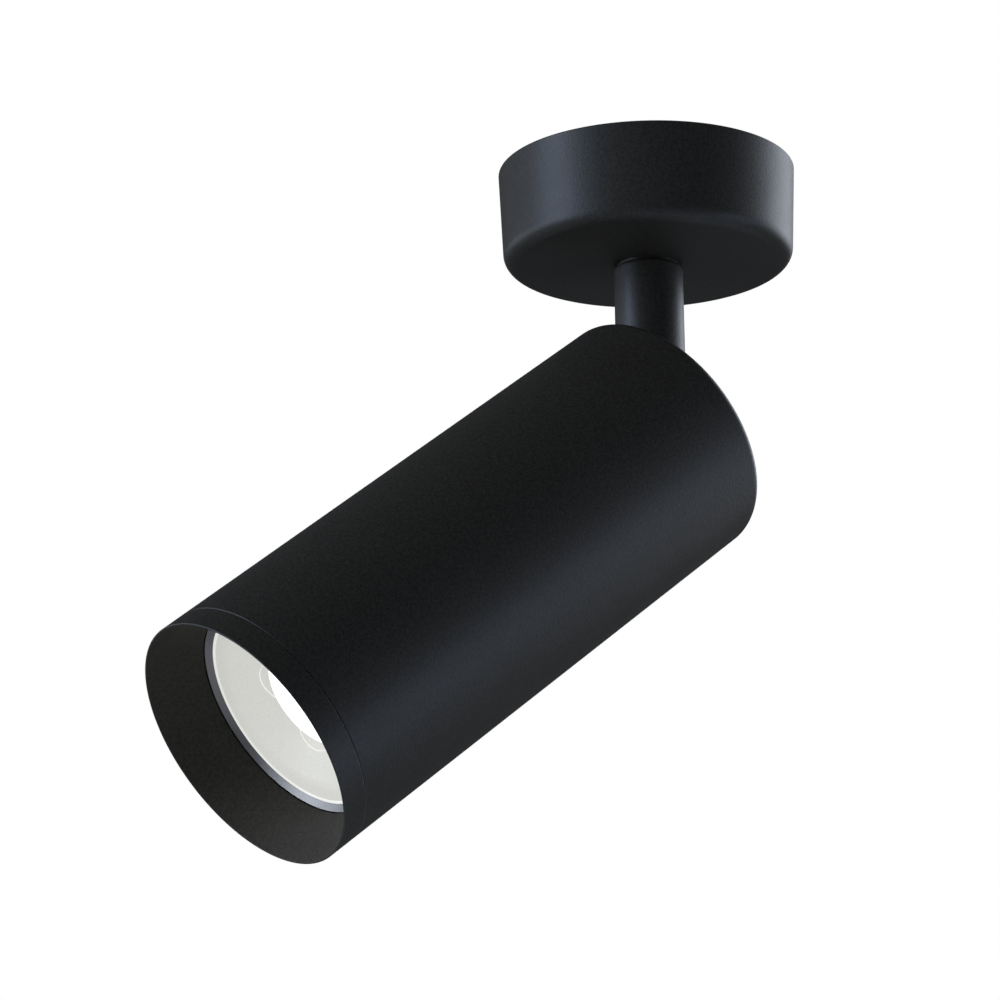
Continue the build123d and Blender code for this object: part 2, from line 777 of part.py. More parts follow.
def make_lamp_lens():
    # frosted plate with a low lip round its edge, dished to a round window at its middle
    outer = lamp_face_r - press_gap
    return on_head(turned([
        (dish_r, lamp_face_z),
        (outer - lens_lip_width, lamp_face_z),
        (outer - lens_lip_width, lens_lip_z),
        (outer, lens_lip_z),
        (outer, lamp_face_z + lens_plate),
        (dish_r + dish_ledge, lamp_face_z + lens_plate),
        (dish_floor_r + lens_wall, lens_back_z),
        (dish_floor_r, lens_back_z),
        (dish_floor_r, dish_floor_z),
    ]))


def make_lamp_diffuser():
    return on_head(rod(dish_floor_r - press_gap, dish_floor_z, lens_back_z))


def make_led_board():
    low = recess_z - board_plate
    return on_head(rod(board_r, low, recess_z))


def make_lamp_base():
    body = turned([
        (0, neck_low_z),
        (lamp_neck_r, neck_low_z),
        (lamp_neck_r - lamp_collar_draft, neck_low_z + lamp_collar_height),
        (lamp_base_r, neck_low_z + lamp_collar_height + lamp_collar_step),
        (lamp_base_r, lamp_back_z - lamp_base_bevel),
        (lamp_base_r - lamp_base_bevel, lamp_back_z),
        (0, lamp_back_z),
    ])
    for side in (-1, 1):
        hole = rod(pin_neck_r + press_gap, lamp_back_z - pin_root, lamp_back_z)
        body -= Pos(side * pin_spacing / 2, 0, 0) * hole
    return on_head(body)


def make_lamp_pins():
    neck_top = lamp_back_z + free_gap + pin_neck_length
    pin = rod(pin_neck_r, lamp_back_z - pin_root, neck_top)
    pin += rod(pin_head_r, neck_top, neck_top + pin_head_length)
    return group([on_head(Pos(side * pin_spacing / 2, 0, 0) * pin) for side in (-1, 1)])


# ---- comes off with the front bezel ----

def baffle_radius(depth):
    """The radius of the conical baffle at a depth behind the rim."""
    return baffle_mouth_r - (baffle_mouth_r - baffle_throat_r) * depth / baffle_depth


def make_front_bezel():
    # ring flush with the head, a plain spigot inside it, and a conical baffle as its inner face
    spigot = head_bore_r - run_gap
    groove = spigot - seal_height
    groove_front = rim_z + seal_depth
    groove_back = groove_front + seal_width + 2 * press_gap
    return on_head(turned([
        (baffle_mouth_r, rim_z),
        (head_r - rim_round, rim_z),
        (head_r, rim_z + rim_round),
        (head_r, seam_z - seam_bevel),
        (head_r - seam_bevel, seam_z),
        (spigot, seam_z),
        (spigot, groove_front),
        (groove, groove_front),
        (groove, groove_back),
        (spigot, groove_back),
        (spigot, throat_z),
        (baffle_throat_r, throat_z),
    ]))


def make_bezel_seal():
    front = rim_z + seal_depth + press_gap
    inner = head_bore_r - run_gap - seal_height + press_gap
    return on_head(tube(head_bore_r - slide_gap, inner, front, front + seal_width))


def main():
    os.makedirs("parts", exist_ok=True)
    pieces = {
        "mounting_bracket": make_mounting_bracket,
        "canopy_cup": make_canopy_cup,
        "canopy_screw": make_canopy_screw,
        "terminal_block": make_terminal_block,
        "terminal_tubes": make_terminal_tubes,
        "terminal_screws": make_terminal_screws,
        "terminal_fixing_screw": make_terminal_fixing_screw,
        "earth_screw": make_earth_screw,
        "earth_washer": make_earth_washer,
        "stem_bush": make_stem_bush,
        "pan_friction_washer": make_pan_friction_washer,
        "stem_tube": make_stem_tube,
        "stem_top_insert": make_stem_top_insert,
        "stem_nipple": make_stem_nipple,
        "pan_stop_washer": make_pan_stop_washer,
        "pan_spring_washer": make_pan_spring_washer,
        "pan_nut": make_pan_nut,
        "cable_bush": make_cable_bush,
        "stem_knuckle": make_stem_knuckle,
        "knuckle_screw": make_knuckle_screw,
        "head_housing": make_head_housing,
        "hinge_block": make_hinge_block,
        "hinge_yoke": make_hinge_yoke,
        "yoke_screws": make_yoke_screws,
        "hinge_block_screws": make_hinge_block_screws,
        "hinge_bolt": make_hinge_bolt,
        "hinge_nut": make_hinge_nut,
        "hinge_washers": make_hinge_washers,
        "holder_bracket": make_holder_bracket,
        "holder_bracket_screws": make_bracket_screws,
        "lamp_holder": make_lamp_holder,
        "holder_screws": make_holder_screws,
        "lamp_body": make_lamp_body,
        "lamp_rim": make_lamp_rim,
        "lamp_lens": make_lamp_lens,
        "lamp_diffuser": make_lamp_diffuser,
        "led_board": make_led_board,
        "lamp_base": make_lamp_base,
        "lamp_pins": make_lamp_pins,
        "front_bezel": make_front_bezel,
        "bezel_seal": make_bezel_seal,
    }
    for name, make in pieces.items():
        export_step(make(), f"parts/{name}.step")


main()
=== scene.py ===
import bpy
import bmesh
import json
import math
from mathutils import Matrix, Vector


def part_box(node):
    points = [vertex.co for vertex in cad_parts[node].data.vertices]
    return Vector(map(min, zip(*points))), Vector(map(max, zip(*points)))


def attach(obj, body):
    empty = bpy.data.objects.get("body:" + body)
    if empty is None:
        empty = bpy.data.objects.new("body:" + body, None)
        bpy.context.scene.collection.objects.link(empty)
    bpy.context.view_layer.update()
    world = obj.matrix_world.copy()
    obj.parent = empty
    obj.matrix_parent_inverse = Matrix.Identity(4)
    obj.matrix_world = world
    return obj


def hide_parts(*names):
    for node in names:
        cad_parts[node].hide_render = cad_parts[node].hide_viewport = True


# Surface mounted ceiling spotlight: black powder-coated canopy, stem and tubular head, frosted lamp.
# Sizes in the dictionaries are in millimetres; mm turns them into the frame's metres.

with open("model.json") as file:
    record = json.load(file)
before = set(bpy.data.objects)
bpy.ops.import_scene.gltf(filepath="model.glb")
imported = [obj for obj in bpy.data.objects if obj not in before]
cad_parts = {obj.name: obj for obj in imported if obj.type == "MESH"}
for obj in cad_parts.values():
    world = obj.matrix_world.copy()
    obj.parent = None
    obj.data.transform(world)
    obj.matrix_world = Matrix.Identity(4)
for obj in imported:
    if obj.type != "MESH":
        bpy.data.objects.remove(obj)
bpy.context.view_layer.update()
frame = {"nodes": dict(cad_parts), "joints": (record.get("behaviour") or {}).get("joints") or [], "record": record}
mm = 0.001
record = frame["record"]
tilt = next(joint for joint in frame["joints"] if joint["name"] == "tilt")
# pieces of the head are drawn pointing straight down from the hinge, then put in their resting place
headPlace = Matrix.Translation(tilt["pos_m"]) @ Matrix.Rotation(math.radians(tilt["range_deg"][0]), 4, "X")
ceilingPlace = Matrix.Identity(4)
meshing = {
    "arcSteps": 5,
    "wideArcSteps": 10,
    "wideRounding": 1.0,    # from this rounding on an arc gets the larger number of steps
    "support": 0.3,         # share of the rounding between an arc's end and the point beside it
    "rodSteps": 48,
    "crease": 35,           # degrees between two faces from which their edge is shaded sharp
    "screwCrease": 32,
    "brokenFrom": 38,       # degrees from which an edge is broken
    "brokenSteps": 2,
    "flatWithin": 0.5,      # degrees within which faces are joined to one
    "tiny": 1e-6,           # a length below this counts as none
}


def linearColour(hexText):
    # the standard curve from screen colours to linear light
    channels = [int(hexText[i:i + 2], 16) / 255 for i in (1, 3, 5)]
    return (*[c / 12.92 if c <= 0.04045 else ((c + 0.055) / 1.055) ** 2.4 for c in channels], 1.0)


def addNode(tree, kind, settings=None, links=None):
    # settings name the node's properties or its input sockets, links feed its inputs
    node = tree.nodes.new(kind)
    for key, value in (settings or {}).items():
        if isinstance(key, str) and hasattr(node, key):
            setattr(node, key, value)
        else:
            node.inputs[key].default_value = value
    for key, source in (links or {}).items():
        tree.links.new(source, node.inputs[key])
    return node


def newMaterial(name, shader):
    # a material with one Principled shader; shader gives its own sockets
    material = bpy.data.materials.new(name)
    material.use_nodes = True
    tree = material.node_tree
    tree.nodes.clear()
    body = addNode(tree, "ShaderNodeBsdfPrincipled", shader)
    addNode(tree, "ShaderNodeOutputMaterial", None, {"Surface": body.outputs["BSDF"]})
    return material, tree, body


def roundedOutline(corners):
    # corners are (radius, height, rounding); each rounding becomes an arc with a support point at each end
    points = []
    for index, corner in enumerate(corners):
        here = Vector(corner[:2])
        rounding = corner[2] if len(corner) > 2 else 0
        if rounding == 0:
            points.append(here)
            continue
        back = (Vector(corners[index - 1][:2]) - here).normalized()
        ahead = (Vector(corners[(index + 1) % len(corners)][:2]) - here).normalized()
        half = back.angle(ahead) / 2
        reach = rounding / math.tan(half)
        middle = here + (back + ahead).normalized() * rounding / math.sin(half)
        first = here + back * reach - middle
        last = here + ahead * reach - middle
        sweep = math.pi - 2 * half
        support = rounding * meshing["support"]
        arcSteps = meshing["arcSteps" if rounding < meshing["wideRounding"] else "wideArcSteps"]
        points.append(here + back * (reach + support))
        for step in range(arcSteps + 1):
            share = step / arcSteps
            spoke = first * math.sin((1 - share) * sweep) + last * math.sin(share * sweep)
            points.append(middle + spoke / math.sin(sweep))
        points.append(here + ahead * (reach + support))
    return [(point.x, point.y) for point in points]


def meshPiece(name, mesh, place):
    # turns a bmesh in millimetres into a finished piece at the origin
    bmesh.ops.recalc_face_normals(mesh, faces=mesh.faces)
    mesh.transform(place @ Matrix.Scale(mm, 4))
    data = bpy.data.meshes.new(name)
    mesh.to_mesh(data)
    mesh.free()
    data.shade_smooth()
    data.set_sharp_from_angle(angle=math.radians(meshing["crease"]))
    piece = bpy.data.objects.new(name, data)
    bpy.context.scene.collection.objects.link(piece)
    return piece


def joinRings(mesh, rings):
    # faces between each ring of vertices and the next, and from the last back to the first
    steps = max(len(ring) for ring in rings)
    for first, second in zip(rings, rings[1:] + rings[:1]):
        for i in range(steps):
            j = (i + 1) % steps
            corners = [first[i % len(first)], first[j % len(first)]]
            corners += [second[j % len(second)], second[i % len(second)]]
            corners = list(dict.fromkeys(corners))
            if len(corners) > 2:
                mesh.faces.new(corners)


def turnedPiece(name, outline, place, steps):
    # a closed outline of (radius, height) turned about Z; points on the axis become poles
    mesh = bmesh.new()
    turns = [2 * math.pi * i / steps for i in range(steps)]
    rings = []
    for radius, height in outline:
        around = turns if radius > meshing["tiny"] else turns[:1]
        rings.append([mesh.verts.new((radius * math.cos(t), radius * math.sin(t), height)) for t in around])
    joinRings(mesh, rings)
    return meshPiece(name, mesh, place)


def bakedPiece(piece):
    # the evaluated mesh in place of the modifiers
    graph = bpy.context.evaluated_depsgraph_get()
    data = bpy.data.meshes.new_from_object(piece.evaluated_get(graph))
    piece.modifiers.clear()
    piece.data = data
    return piece


def cutPiece(piece, cutter, operation="DIFFERENCE"):
    # takes the cutter out of the piece, or keeps what they share, and deletes the cutter
    cut = piece.modifiers.new("cut", "BOOLEAN")
    cut.object = cutter
    cut.operation = operation
    cut.solver = "EXACT"
    bakedPiece(piece)
    bpy.data.objects.remove(cutter)
    piece.data.shade_smooth()
    piece.data.set_sharp_from_angle(angle=math.radians(meshing["crease"]))
    return piece


def softenedCopy(node, edgeWidth):
    # a merged copy of a CAD node, its flat faces joined and its edges lightly broken
    mesh = bmesh.new()
    mesh.from_mesh(frame["nodes"][node].data)
    bmesh.ops.remove_doubles(mesh, verts=mesh.verts, dist=meshing["tiny"])
    flatWithin = math.radians(meshing["flatWithin"])
    bmesh.ops.dissolve_limit(mesh, angle_limit=flatWithin, verts=mesh.verts, edges=mesh.edges)
    data = bpy.data.meshes.new(node + "Soft")
    mesh.to_mesh(data)
    mesh.free()
    data.shade_smooth()
    piece = bpy.data.objects.new(node + "Soft", data)
    bpy.context.scene.collection.objects.link(piece)
    edge = piece.modifiers.new("edge", "BEVEL")
    edge.width = edgeWidth * mm
    edge.segments = meshing["brokenSteps"]
    edge.angle_limit = math.radians(meshing["brokenFrom"])
    edge.use_clamp_overlap = False
    flats = piece.modifiers.new("flats", "WEIGHTED_NORMAL")
    flats.keep_sharp = True
    return bakedPiece(piece)


def rodPiece(radius, low, high, place):
    # a plain round rod, to cut a hole with
    outline = [(0, low), (radius, low), (radius, high), (0, high)]
    return turnedPiece("rod", outline, place, meshing["rodSteps"])


def headFaces(piece):
    # each face with its reach from the head's axis, its height along it and the way it looks
    axis = headPlace.to_3x3() @ Vector((0, 0, 1))
    hinge = headPlace.to_translation()
    for face in piece.data.polygons:
        spot = face.center - hinge
        outwards = spot - axis * spot.dot(axis)
        yield face, {"reach": outwards.length / mm, "height": spot.dot(axis) / mm,
                     "outwards": face.normal.dot(outwards), "along": face.normal.dot(axis)}


def dress(piece, body, slotName, *replacedNodes):
    # material, from a record slot's name, and body of a finished piece; hides the nodes it replaces
    piece.data.materials.clear()
    piece.data.materials.append(slotMaterials[slotName])
    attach(piece, body)
    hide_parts(*replacedNodes)


noiseLow, noiseHigh = 0.3, 0.7  # the part of a noise's range that most of it lies in


def surfaceNoise(tree, spacing, detail, stretch):
    # a pattern fixed to the piece, spacing in millimetres
    spot = addNode(tree, "ShaderNodeTexCoord")
    turn = addNode(tree, "ShaderNodeMapping", {"Scale": stretch}, {"Vector": spot.outputs["Object"]})
    noise = addNode(tree, "ShaderNodeTexNoise", {"Scale": 1 / (spacing * mm), "Detail": detail},
                    {"Vector": turn.outputs["Vector"]})
    return noise.outputs["Fac"]


def grainBump(tree, body, grain, depth, stretch=(1, 1, 1), detail=2.0):
    # fine relief: grain is the spacing in millimetres, depth in millimetres
    pattern = surfaceNoise(tree, grain, detail, stretch)
    bump = addNode(tree, "ShaderNodeBump", {"Strength": 1.0, "Distance": depth * mm}, {"Height": pattern})
    tree.links.new(bump.outputs["Normal"], body.inputs["Normal"])
    return pattern


def variedRoughness(tree, body, patch, low, high, stretch=(1, 1, 1), detail=3.0):
    # slow change of gloss over the surface: patch is its spacing in millimetres
    pattern = surfaceNoise(tree, patch, detail, stretch)
    spread = addNode(tree, "ShaderNodeMapRange", {
        "From Min": noiseLow, "From Max": noiseHigh, "To Min": low, "To Max": high}, {"Value": pattern})
    tree.links.new(spread.outputs["Result"], body.inputs["Roughness"])
    return pattern


def variedColour(tree, body, pattern, first, second):
    # colour between two hex values, led by a pattern
    ramp = addNode(tree, "ShaderNodeValToRGB", None, {"Fac": pattern})
    for stop, position, colour in zip(ramp.color_ramp.elements, (noiseLow, noiseHigh), (first, second)):
        stop.position = position
        stop.color = linearColour(colour)
    tree.links.new(ramp.outputs["Color"], body.inputs["Base Color"])


def powderCoatBlack():
    # sprayed polyester powder, baked: dull black with a fine sanded grain that breaks up the highlight
    # the real grain is near 0.2 mm and would not show, so it is drawn at 0.6 mm
    material, tree, body = newMaterial("powderCoatBlack", {
        "IOR": 1.5, "Specular IOR Level": 0.3, "Specular Tint": linearColour("#c2d6f0")})
    grain = grainBump(tree, body, grain=0.6, depth=0.035, detail=1.0)
    variedRoughness(tree, body, patch=9, low=0.46, high=0.5)
    variedColour(tree, body, grain, "#191816", "#23221f")
    return material


def baffleCoatPaintedLampLight():
    # the same powder on the inner cone, duller so that it throws no glare; its lighter, warm colour is painted
    # light from the lamp falling on the cone
    material, tree, body = newMaterial("baffleCoatPaintedLampLight", {"IOR": 1.5, "Specular IOR Level": 0.15})
    grain = grainBump(tree, body, grain=0.6, depth=0.035, detail=1.0)
    variedRoughness(tree, body, patch=9, low=0.6, high=0.7)
    # painted light: these tones are lifted and warmed to stand for the lamp's light on the cone
    variedColour(tree, body, grain, "#20201d", "#2b2b27")
    return material


def nylonBlack():
    # moulded black polyamide: satin, with faint mould grain
    material, tree, body = newMaterial("nylonBlack", {"IOR": 1.53})
    grain = grainBump(tree, body, grain=0.3, depth=0.006)
    variedRoughness(tree, body, patch=4, low=0.4, high=0.5)
    variedColour(tree, body, grain, "#121213", "#18181a")
    return material


def oxideSteelBlack():
    # black oxide on turned steel: dark, oily sheen
    material, tree, body = newMaterial("oxideSteelBlack", {"Metallic": 0.6, "IOR": 1.5})
    grain = grainBump(tree, body, grain=0.25, depth=0.004)
    variedRoughness(tree, body, patch=2, low=0.32, high=0.45)
    variedColour(tree, body, grain, "#1a1a1c", "#262628")
    return material


def zincSteel():
    # bright zinc plating on pressed steel: pale grey metal with faint rolling lines and dull patches
    material, tree, body = newMaterial("zincSteel", {"Metallic": 1.0})
    rolling = (0.08, 1, 1)
    grainBump(tree, body, grain=0.5, depth=0.003, stretch=rolling)
    patches = variedRoughness(tree, body, patch=5, low=0.34, high=0.5, stretch=rolling)
    variedColour(tree, body, patches, "#9b9fa4", "#aeb2b6")
    return material


def turnedBrass():
    # turned brass: fine rings from the lathe, slightly dulled
    material, tree, body = newMaterial("turnedBrass", {"Metallic": 1.0})
    rings = (0.1, 0.1, 1)
    grainBump(tree, body, grain=0.25, depth=0.003, stretch=rings)
    patches = variedRoughness(tree, body, patch=3, low=0.22, high=0.36, stretch=rings)
    variedColour(tree, body, patches, "#c9a35a", "#dcb871")
    return material


def polyamideNatural():
    # moulded natural polyamide: milky, satin
    material, tree, body = newMaterial("polyamideNatural", {
        "IOR": 1.53, "Subsurface Weight": 0.1, "Subsurface Scale": 1.5 * mm})
    grain = grainBump(tree, body, grain=0.4, depth=0.008)
    variedRoughness(tree, body, patch=4, low=0.38, high=0.5)
    variedColour(tree, body, grain, "#e2e0d6", "#ebe9e1")
    return material


def castAluminium():
    # die-cast aluminium, tumbled: dull silver with a soft pitted skin
    material, tree, body = newMaterial("castAluminium", {"Metallic": 1.0})
    grainBump(tree, body, grain=0.6, depth=0.02)
    patches = variedRoughness(tree, body, patch=6, low=0.42, high=0.58)
    variedColour(tree, body, patches, "#a9abae", "#bdbfc1")
    return material


def steatiteCeramic():
    # pressed and fired steatite: off-white, faintly gritty, half gloss
    material, tree, body = newMaterial("steatiteCeramic", {"IOR": 1.6})
    grain = grainBump(tree, body, grain=0.35, depth=0.01)
    variedRoughness(tree, body, patch=5, low=0.35, high=0.5)
    variedColour(tree, body, grain, "#ddd8cb", "#e9e5da")
    return material


def lampHousingWhite():
    # moulded white PBT: clean, satin
    material, tree, body = newMaterial("lampHousingWhite", {"IOR": 1.55})
    grain = grainBump(tree, body, grain=0.4, depth=0.006)
    variedRoughness(tree, body, patch=6, low=0.4, high=0.5)
    variedColour(tree, body, grain, "#dddcd8", "#e6e5e1")
    return material


def polishedRim():
    # satin metallised ring round the lamp's face: dark where it mirrors the baffle, pale at the open side
    material, tree, body = newMaterial("polishedRim", {"Metallic": 1.0})
    grainBump(tree, body, grain=1.5, depth=0.0002)
    patches = variedRoughness(tree, body, patch=5, low=0.5, high=0.54)
    variedColour(tree, body, patches, "#6d6e70", "#77787b")
    return material


def frostedLens():
    # etched polycarbonate over the LED board: pale grey, evenly lit from behind
    material, tree, body = newMaterial("frostedLens", {
        "IOR": 1.585, "Specular IOR Level": 0.3,
        "Emission Color": linearColour("#f6f6f0"), "Emission Strength": 0.58})
    grain = grainBump(tree, body, grain=0.5, depth=0.012)
    variedRoughness(tree, body, patch=3, low=0.5, high=0.6)
    variedColour(tree, body, grain, "#565753", "#6a6b66")
    return material


def lensEdgeGlowPaintedGlint():
    # polished edge of the same lens: it shares the lamp's glow, and its stronger glow on the lip and the scoops'
    # walls is a painted highlight
    # painted highlight: emission stronger than the frosted face's stands for glints on these edges
    material, tree, body = newMaterial("lensEdgeGlowPaintedGlint", {
        "IOR": 1.585, "Emission Color": linearColour("#f8f8f4"), "Emission Strength": 0.7})
    grain = grainBump(tree, body, grain=0.5, depth=0.004)
    variedRoughness(tree, body, patch=3, low=0.2, high=0.3)
    variedColour(tree, body, grain, "#7c7d7a", "#868783")
    return material


def opalDiffuser():
    # opal acrylic at the bottom of the dish, straight in front of the LEDs: the brightest spot
    material, tree, body = newMaterial("opalDiffuser", {
        "IOR": 1.49, "Emission Color": linearColour("#ffffff"), "Emission Strength": 0.9})
    grain = grainBump(tree, body, grain=0.3, depth=0.004)
    variedRoughness(tree, body, patch=3, low=0.4, high=0.5)
    variedColour(tree, body, grain, "#f2f2ee", "#f8f8f5")
    return material


def boardMask():
    # white solder mask on an aluminium circuit board
    material, tree, body = newMaterial("boardMask", {"IOR": 1.5})
    grain = grainBump(tree, body, grain=0.5, depth=0.004)
    variedRoughness(tree, body, patch=4, low=0.3, high=0.42)
    variedColour(tree, body, grain, "#dfe2e2", "#eceeee")
    return material


def nickelPlate():
    # nickel on brass pins: warm bright metal
    material, tree, body = newMaterial("nickelPlate", {"Metallic": 1.0})
    grainBump(tree, body, grain=0.3, depth=0.002)
    patches = variedRoughness(tree, body, patch=2, low=0.16, high=0.28)
    variedColour(tree, body, patches, "#cdc8bd", "#dad6cc")
    return material


def siliconeBlack():
    # extruded silicone rubber: dull, soft black
    material, tree, body = newMaterial("siliconeBlack", {"IOR": 1.41})
    grain = grainBump(tree, body, grain=0.3, depth=0.006)
    variedRoughness(tree, body, patch=3, low=0.62, high=0.75)
    variedColour(tree, body, grain, "#141414", "#1b1b1b")
    return material


slotMaterials = {
    "black_paint": powderCoatBlack(),
    "black_screw": oxideSteelBlack(),
    "zinc_steel": zincSteel(),
    "brass": turnedBrass(),
    "white_plastic": polyamideNatural(),
    "black_plastic": nylonBlack(),
    "cast_aluminium": castAluminium(),
    "ceramic": steatiteCeramic(),
    "lamp_plastic": lampHousingWhite(),
    "lamp_rim_gloss": polishedRim(),
    "lens_frosted": frostedLens(),
    "diffuser": opalDiffuser(),
    "board_aluminium": boardMask(),
    "nickel": nickelPlate(),
    "rubber": siliconeBlack(),
}
bodyOf = {node: body for body, nodes in record["behaviour"]["bodies"].items() for node in nodes}
slotOf = {part["node"]: part["material_slot"] for part in record["subparts"]}
for node, slotName in slotOf.items():
    shown = frame["nodes"][node].data
    shown.materials.clear()
    shown.materials.append(slotMaterials[slotName])
print("materials made")


cupLow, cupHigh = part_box("canopy_cup")
canopy = {
    "rimRadius": cupHigh.x / mm,
    "height": -cupLow.z / mm,
    "taper": 1.05,          # how much smaller the radius is at the foot
    "footRounding": 3.4,
    "rimRounding": 0.35,
    "wall": 1.6,
    "floor": 2.0,
    "innerRounding": 1.8,
    "boreRadius": 6.25,
    "boreRounding": 0.2,
    "screwDrop": 9.0,
    "screwHoleRadius": 1.7,
    "holeInside": 5.0,      # how far the hole's cutter goes inside and outside the rim's radius
    "holeOutside": 2.0,
    "steps": 256,
}


def canopyCup():
    foot = -canopy["height"]
    floorTop = foot + canopy["floor"]
    footRadius = canopy["rimRadius"] - canopy["taper"]
    innerFoot = footRadius - canopy["wall"] + canopy["taper"] * canopy["floor"] / canopy["height"]
    outline = roundedOutline([
        (canopy["rimRadius"], 0, canopy["rimRounding"]),
        (footRadius, foot, canopy["footRounding"]),
        (canopy["boreRadius"], foot, canopy["boreRounding"]),
        (canopy["boreRadius"], floorTop, canopy["boreRounding"]),
        (innerFoot, floorTop, canopy["innerRounding"]),
        (canopy["rimRadius"] - canopy["wall"], 0, canopy["rimRounding"]),
    ])
    cup = turnedPiece("canopyCup", outline, ceilingPlace, canopy["steps"])
    side = Matrix.Translation((0, 0, -canopy["screwDrop"] * mm)) @ Matrix.Rotation(math.radians(-90), 4, "Y")
    low = canopy["rimRadius"] - canopy["holeInside"]
    high = canopy["rimRadius"] + canopy["holeOutside"]
    hole = rodPiece(canopy["screwHoleRadius"], low, high, side)
    return cutPiece(cup, hole)


dress(canopyCup(), "ceiling_base", "black_paint", "canopy_cup")
print("canopy made")


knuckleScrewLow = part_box("knuckle_screw")[0].z / mm
stem = {
    "radius": 8.2,
    "bore": 7.0,
    "topEdge": 0.9,
    "lowEdge": 0.15,
    "screwHoleRadius": 1.55,
    "screwHeight": knuckleScrewLow + 1.5,  # the knuckle's screw has a radius of 1.5
    "holeMargin": 1.0,
    "steps": 128,
}


def stemTube():
    low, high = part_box("stem_tube")
    outline = roundedOutline([
        (stem["bore"], low.z / mm),
        (stem["radius"], low.z / mm, stem["lowEdge"]),
        (stem["radius"], high.z / mm, stem["topEdge"]),
        (stem["bore"], high.z / mm, stem["lowEdge"]),
    ])
    tube = turnedPiece("stemTube", outline, ceilingPlace, stem["steps"])
    rear = Matrix.Translation((0, 0, stem["screwHeight"] * mm)) @ Matrix.Rotation(math.radians(-90), 4, "X")
    margin = stem["holeMargin"]
    hole = rodPiece(stem["screwHoleRadius"], stem["bore"] - margin, stem["radius"] + margin, rear)
    return cutPiece(tube, hole)


dress(stemTube(), "stem", "black_paint", "stem_tube")
print("stem made")


head = {
    "radius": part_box("head_housing")[1].x / mm,
    "bore": 28.5,
    "rearReach": 2.8,       # hinge to the rear face
    "rearWall": 3.0,
    "rearRounding": 1.8,
    "frontReach": 135.3,    # hinge to the front rim
    "bezelLength": 6.4,
    "seamRounding": 0.28,
    "slotHalf": 10.8,       # half the slot's width
    "slotEnd": 26.3,        # hinge's line to the slot's far end
    "slotRounding": 0.4,
    "slotLand": 9.0,        # only gives the slot's edge its direction
    "steps": 320,
}
seamHeight = head["bezelLength"] - head["frontReach"]
slotStraight = (head["slotEnd"] - head["slotHalf"]) / 2  # slot's middle to the centre of either round end


def slotPoint(turn, spread):
    # where a ray from the slot's middle leaves the slot, made larger by spread; no ray is exactly along it
    radius = head["slotHalf"] + spread
    across, along = math.cos(turn), math.sin(turn)
    reach = radius / abs(across)
    if abs(reach * along) > slotStraight:
        reach = slotStraight * abs(along) + math.sqrt(radius ** 2 - (slotStraight * across) ** 2)
    return reach * across, reach * along - slotStraight


def circlePoint(turn, radius):
    # where the same ray meets a circle about the head's axis
    along = slotStraight * math.sin(turn)
    reach = along + math.sqrt(along ** 2 - slotStraight ** 2 + radius ** 2)
    return reach * math.cos(turn), reach * math.sin(turn) - slotStraight


def headHousing():
    rear = head["rearReach"]
    inside = rear - head["rearWall"]
    outer = roundedOutline([
        (head["bore"], seamHeight),
        (head["radius"], seamHeight, head["seamRounding"]),
        (head["radius"], rear, head["rearRounding"]),
        (head["bore"] / 2, rear),
    ])[:-1]
    land = head["slotLand"]
    edge = roundedOutline([(land, rear), (0, rear, head["slotRounding"]), (0, inside), (land, inside)])[1:-1]
    mesh = bmesh.new()
    turns = [2 * math.pi * (i + 0.5) / head["steps"] for i in range(head["steps"])]
    rings = [[mesh.verts.new((*circlePoint(t, radius), height)) for t in turns] for radius, height in outer]
    rings += [[mesh.verts.new((*slotPoint(t, spread), height)) for t in turns] for spread, height in edge]
    rings.append([mesh.verts.new((*circlePoint(t, head["bore"]), inside)) for t in turns])
    joinRings(mesh, rings)
    return meshPiece("headHousing", mesh, headPlace)


dress(headHousing(), "head", "black_paint", "head_housing")
print("head made")


bezel = {
    "mouthRadius": 29.6,
    "throatRadius": 25.4,
    "baffleDepth": 13.5,
    "mouthEdge": 0.1,
    "rimRounding": 0.18,
    "spigotEdge": 0.2,
    "throatEdge": 0.3,
    "spigotRadius": 28.42,
    "grooveStart": 9.6,     # the seal's groove, from the rim
    "grooveWidth": 1.7,
    "grooveDepth": 1.2,
    "steps": 256,
}


def frontBezel():
    # the ring in the head's mouth with its conical baffle
    rim = -head["frontReach"]
    throat = rim + bezel["baffleDepth"]
    spigot = bezel["spigotRadius"]
    grooveLow = rim + bezel["grooveStart"]
    grooveHigh = grooveLow + bezel["grooveWidth"]
    outline = roundedOutline([
        (bezel["mouthRadius"], rim, bezel["mouthEdge"]),
        (head["radius"], rim, bezel["rimRounding"]),
        (head["radius"], seamHeight, head["seamRounding"]),
        (spigot, seamHeight),
        (spigot, grooveLow),
        (spigot - bezel["grooveDepth"], grooveLow),
        (spigot - bezel["grooveDepth"], grooveHigh),
        (spigot, grooveHigh),
        (spigot, throat, bezel["spigotEdge"]),
        (bezel["throatRadius"], throat, bezel["throatEdge"]),
    ])
    ring = turnedPiece("frontBezel", outline, headPlace, bezel["steps"])
    dress(ring, "bezel", "black_paint", "front_bezel")
    # the cone's coat carries painted light from the lamp
    ring.data.materials.append(baffleCoatPaintedLampLight())
    for face, place in headFaces(ring):  # the cone's faces look at the axis
        if place["reach"] < bezel["mouthRadius"] and place["outwards"] < 0 and place["height"] < throat:
            face.material_index = 1


frontBezel()
print("bezel made")


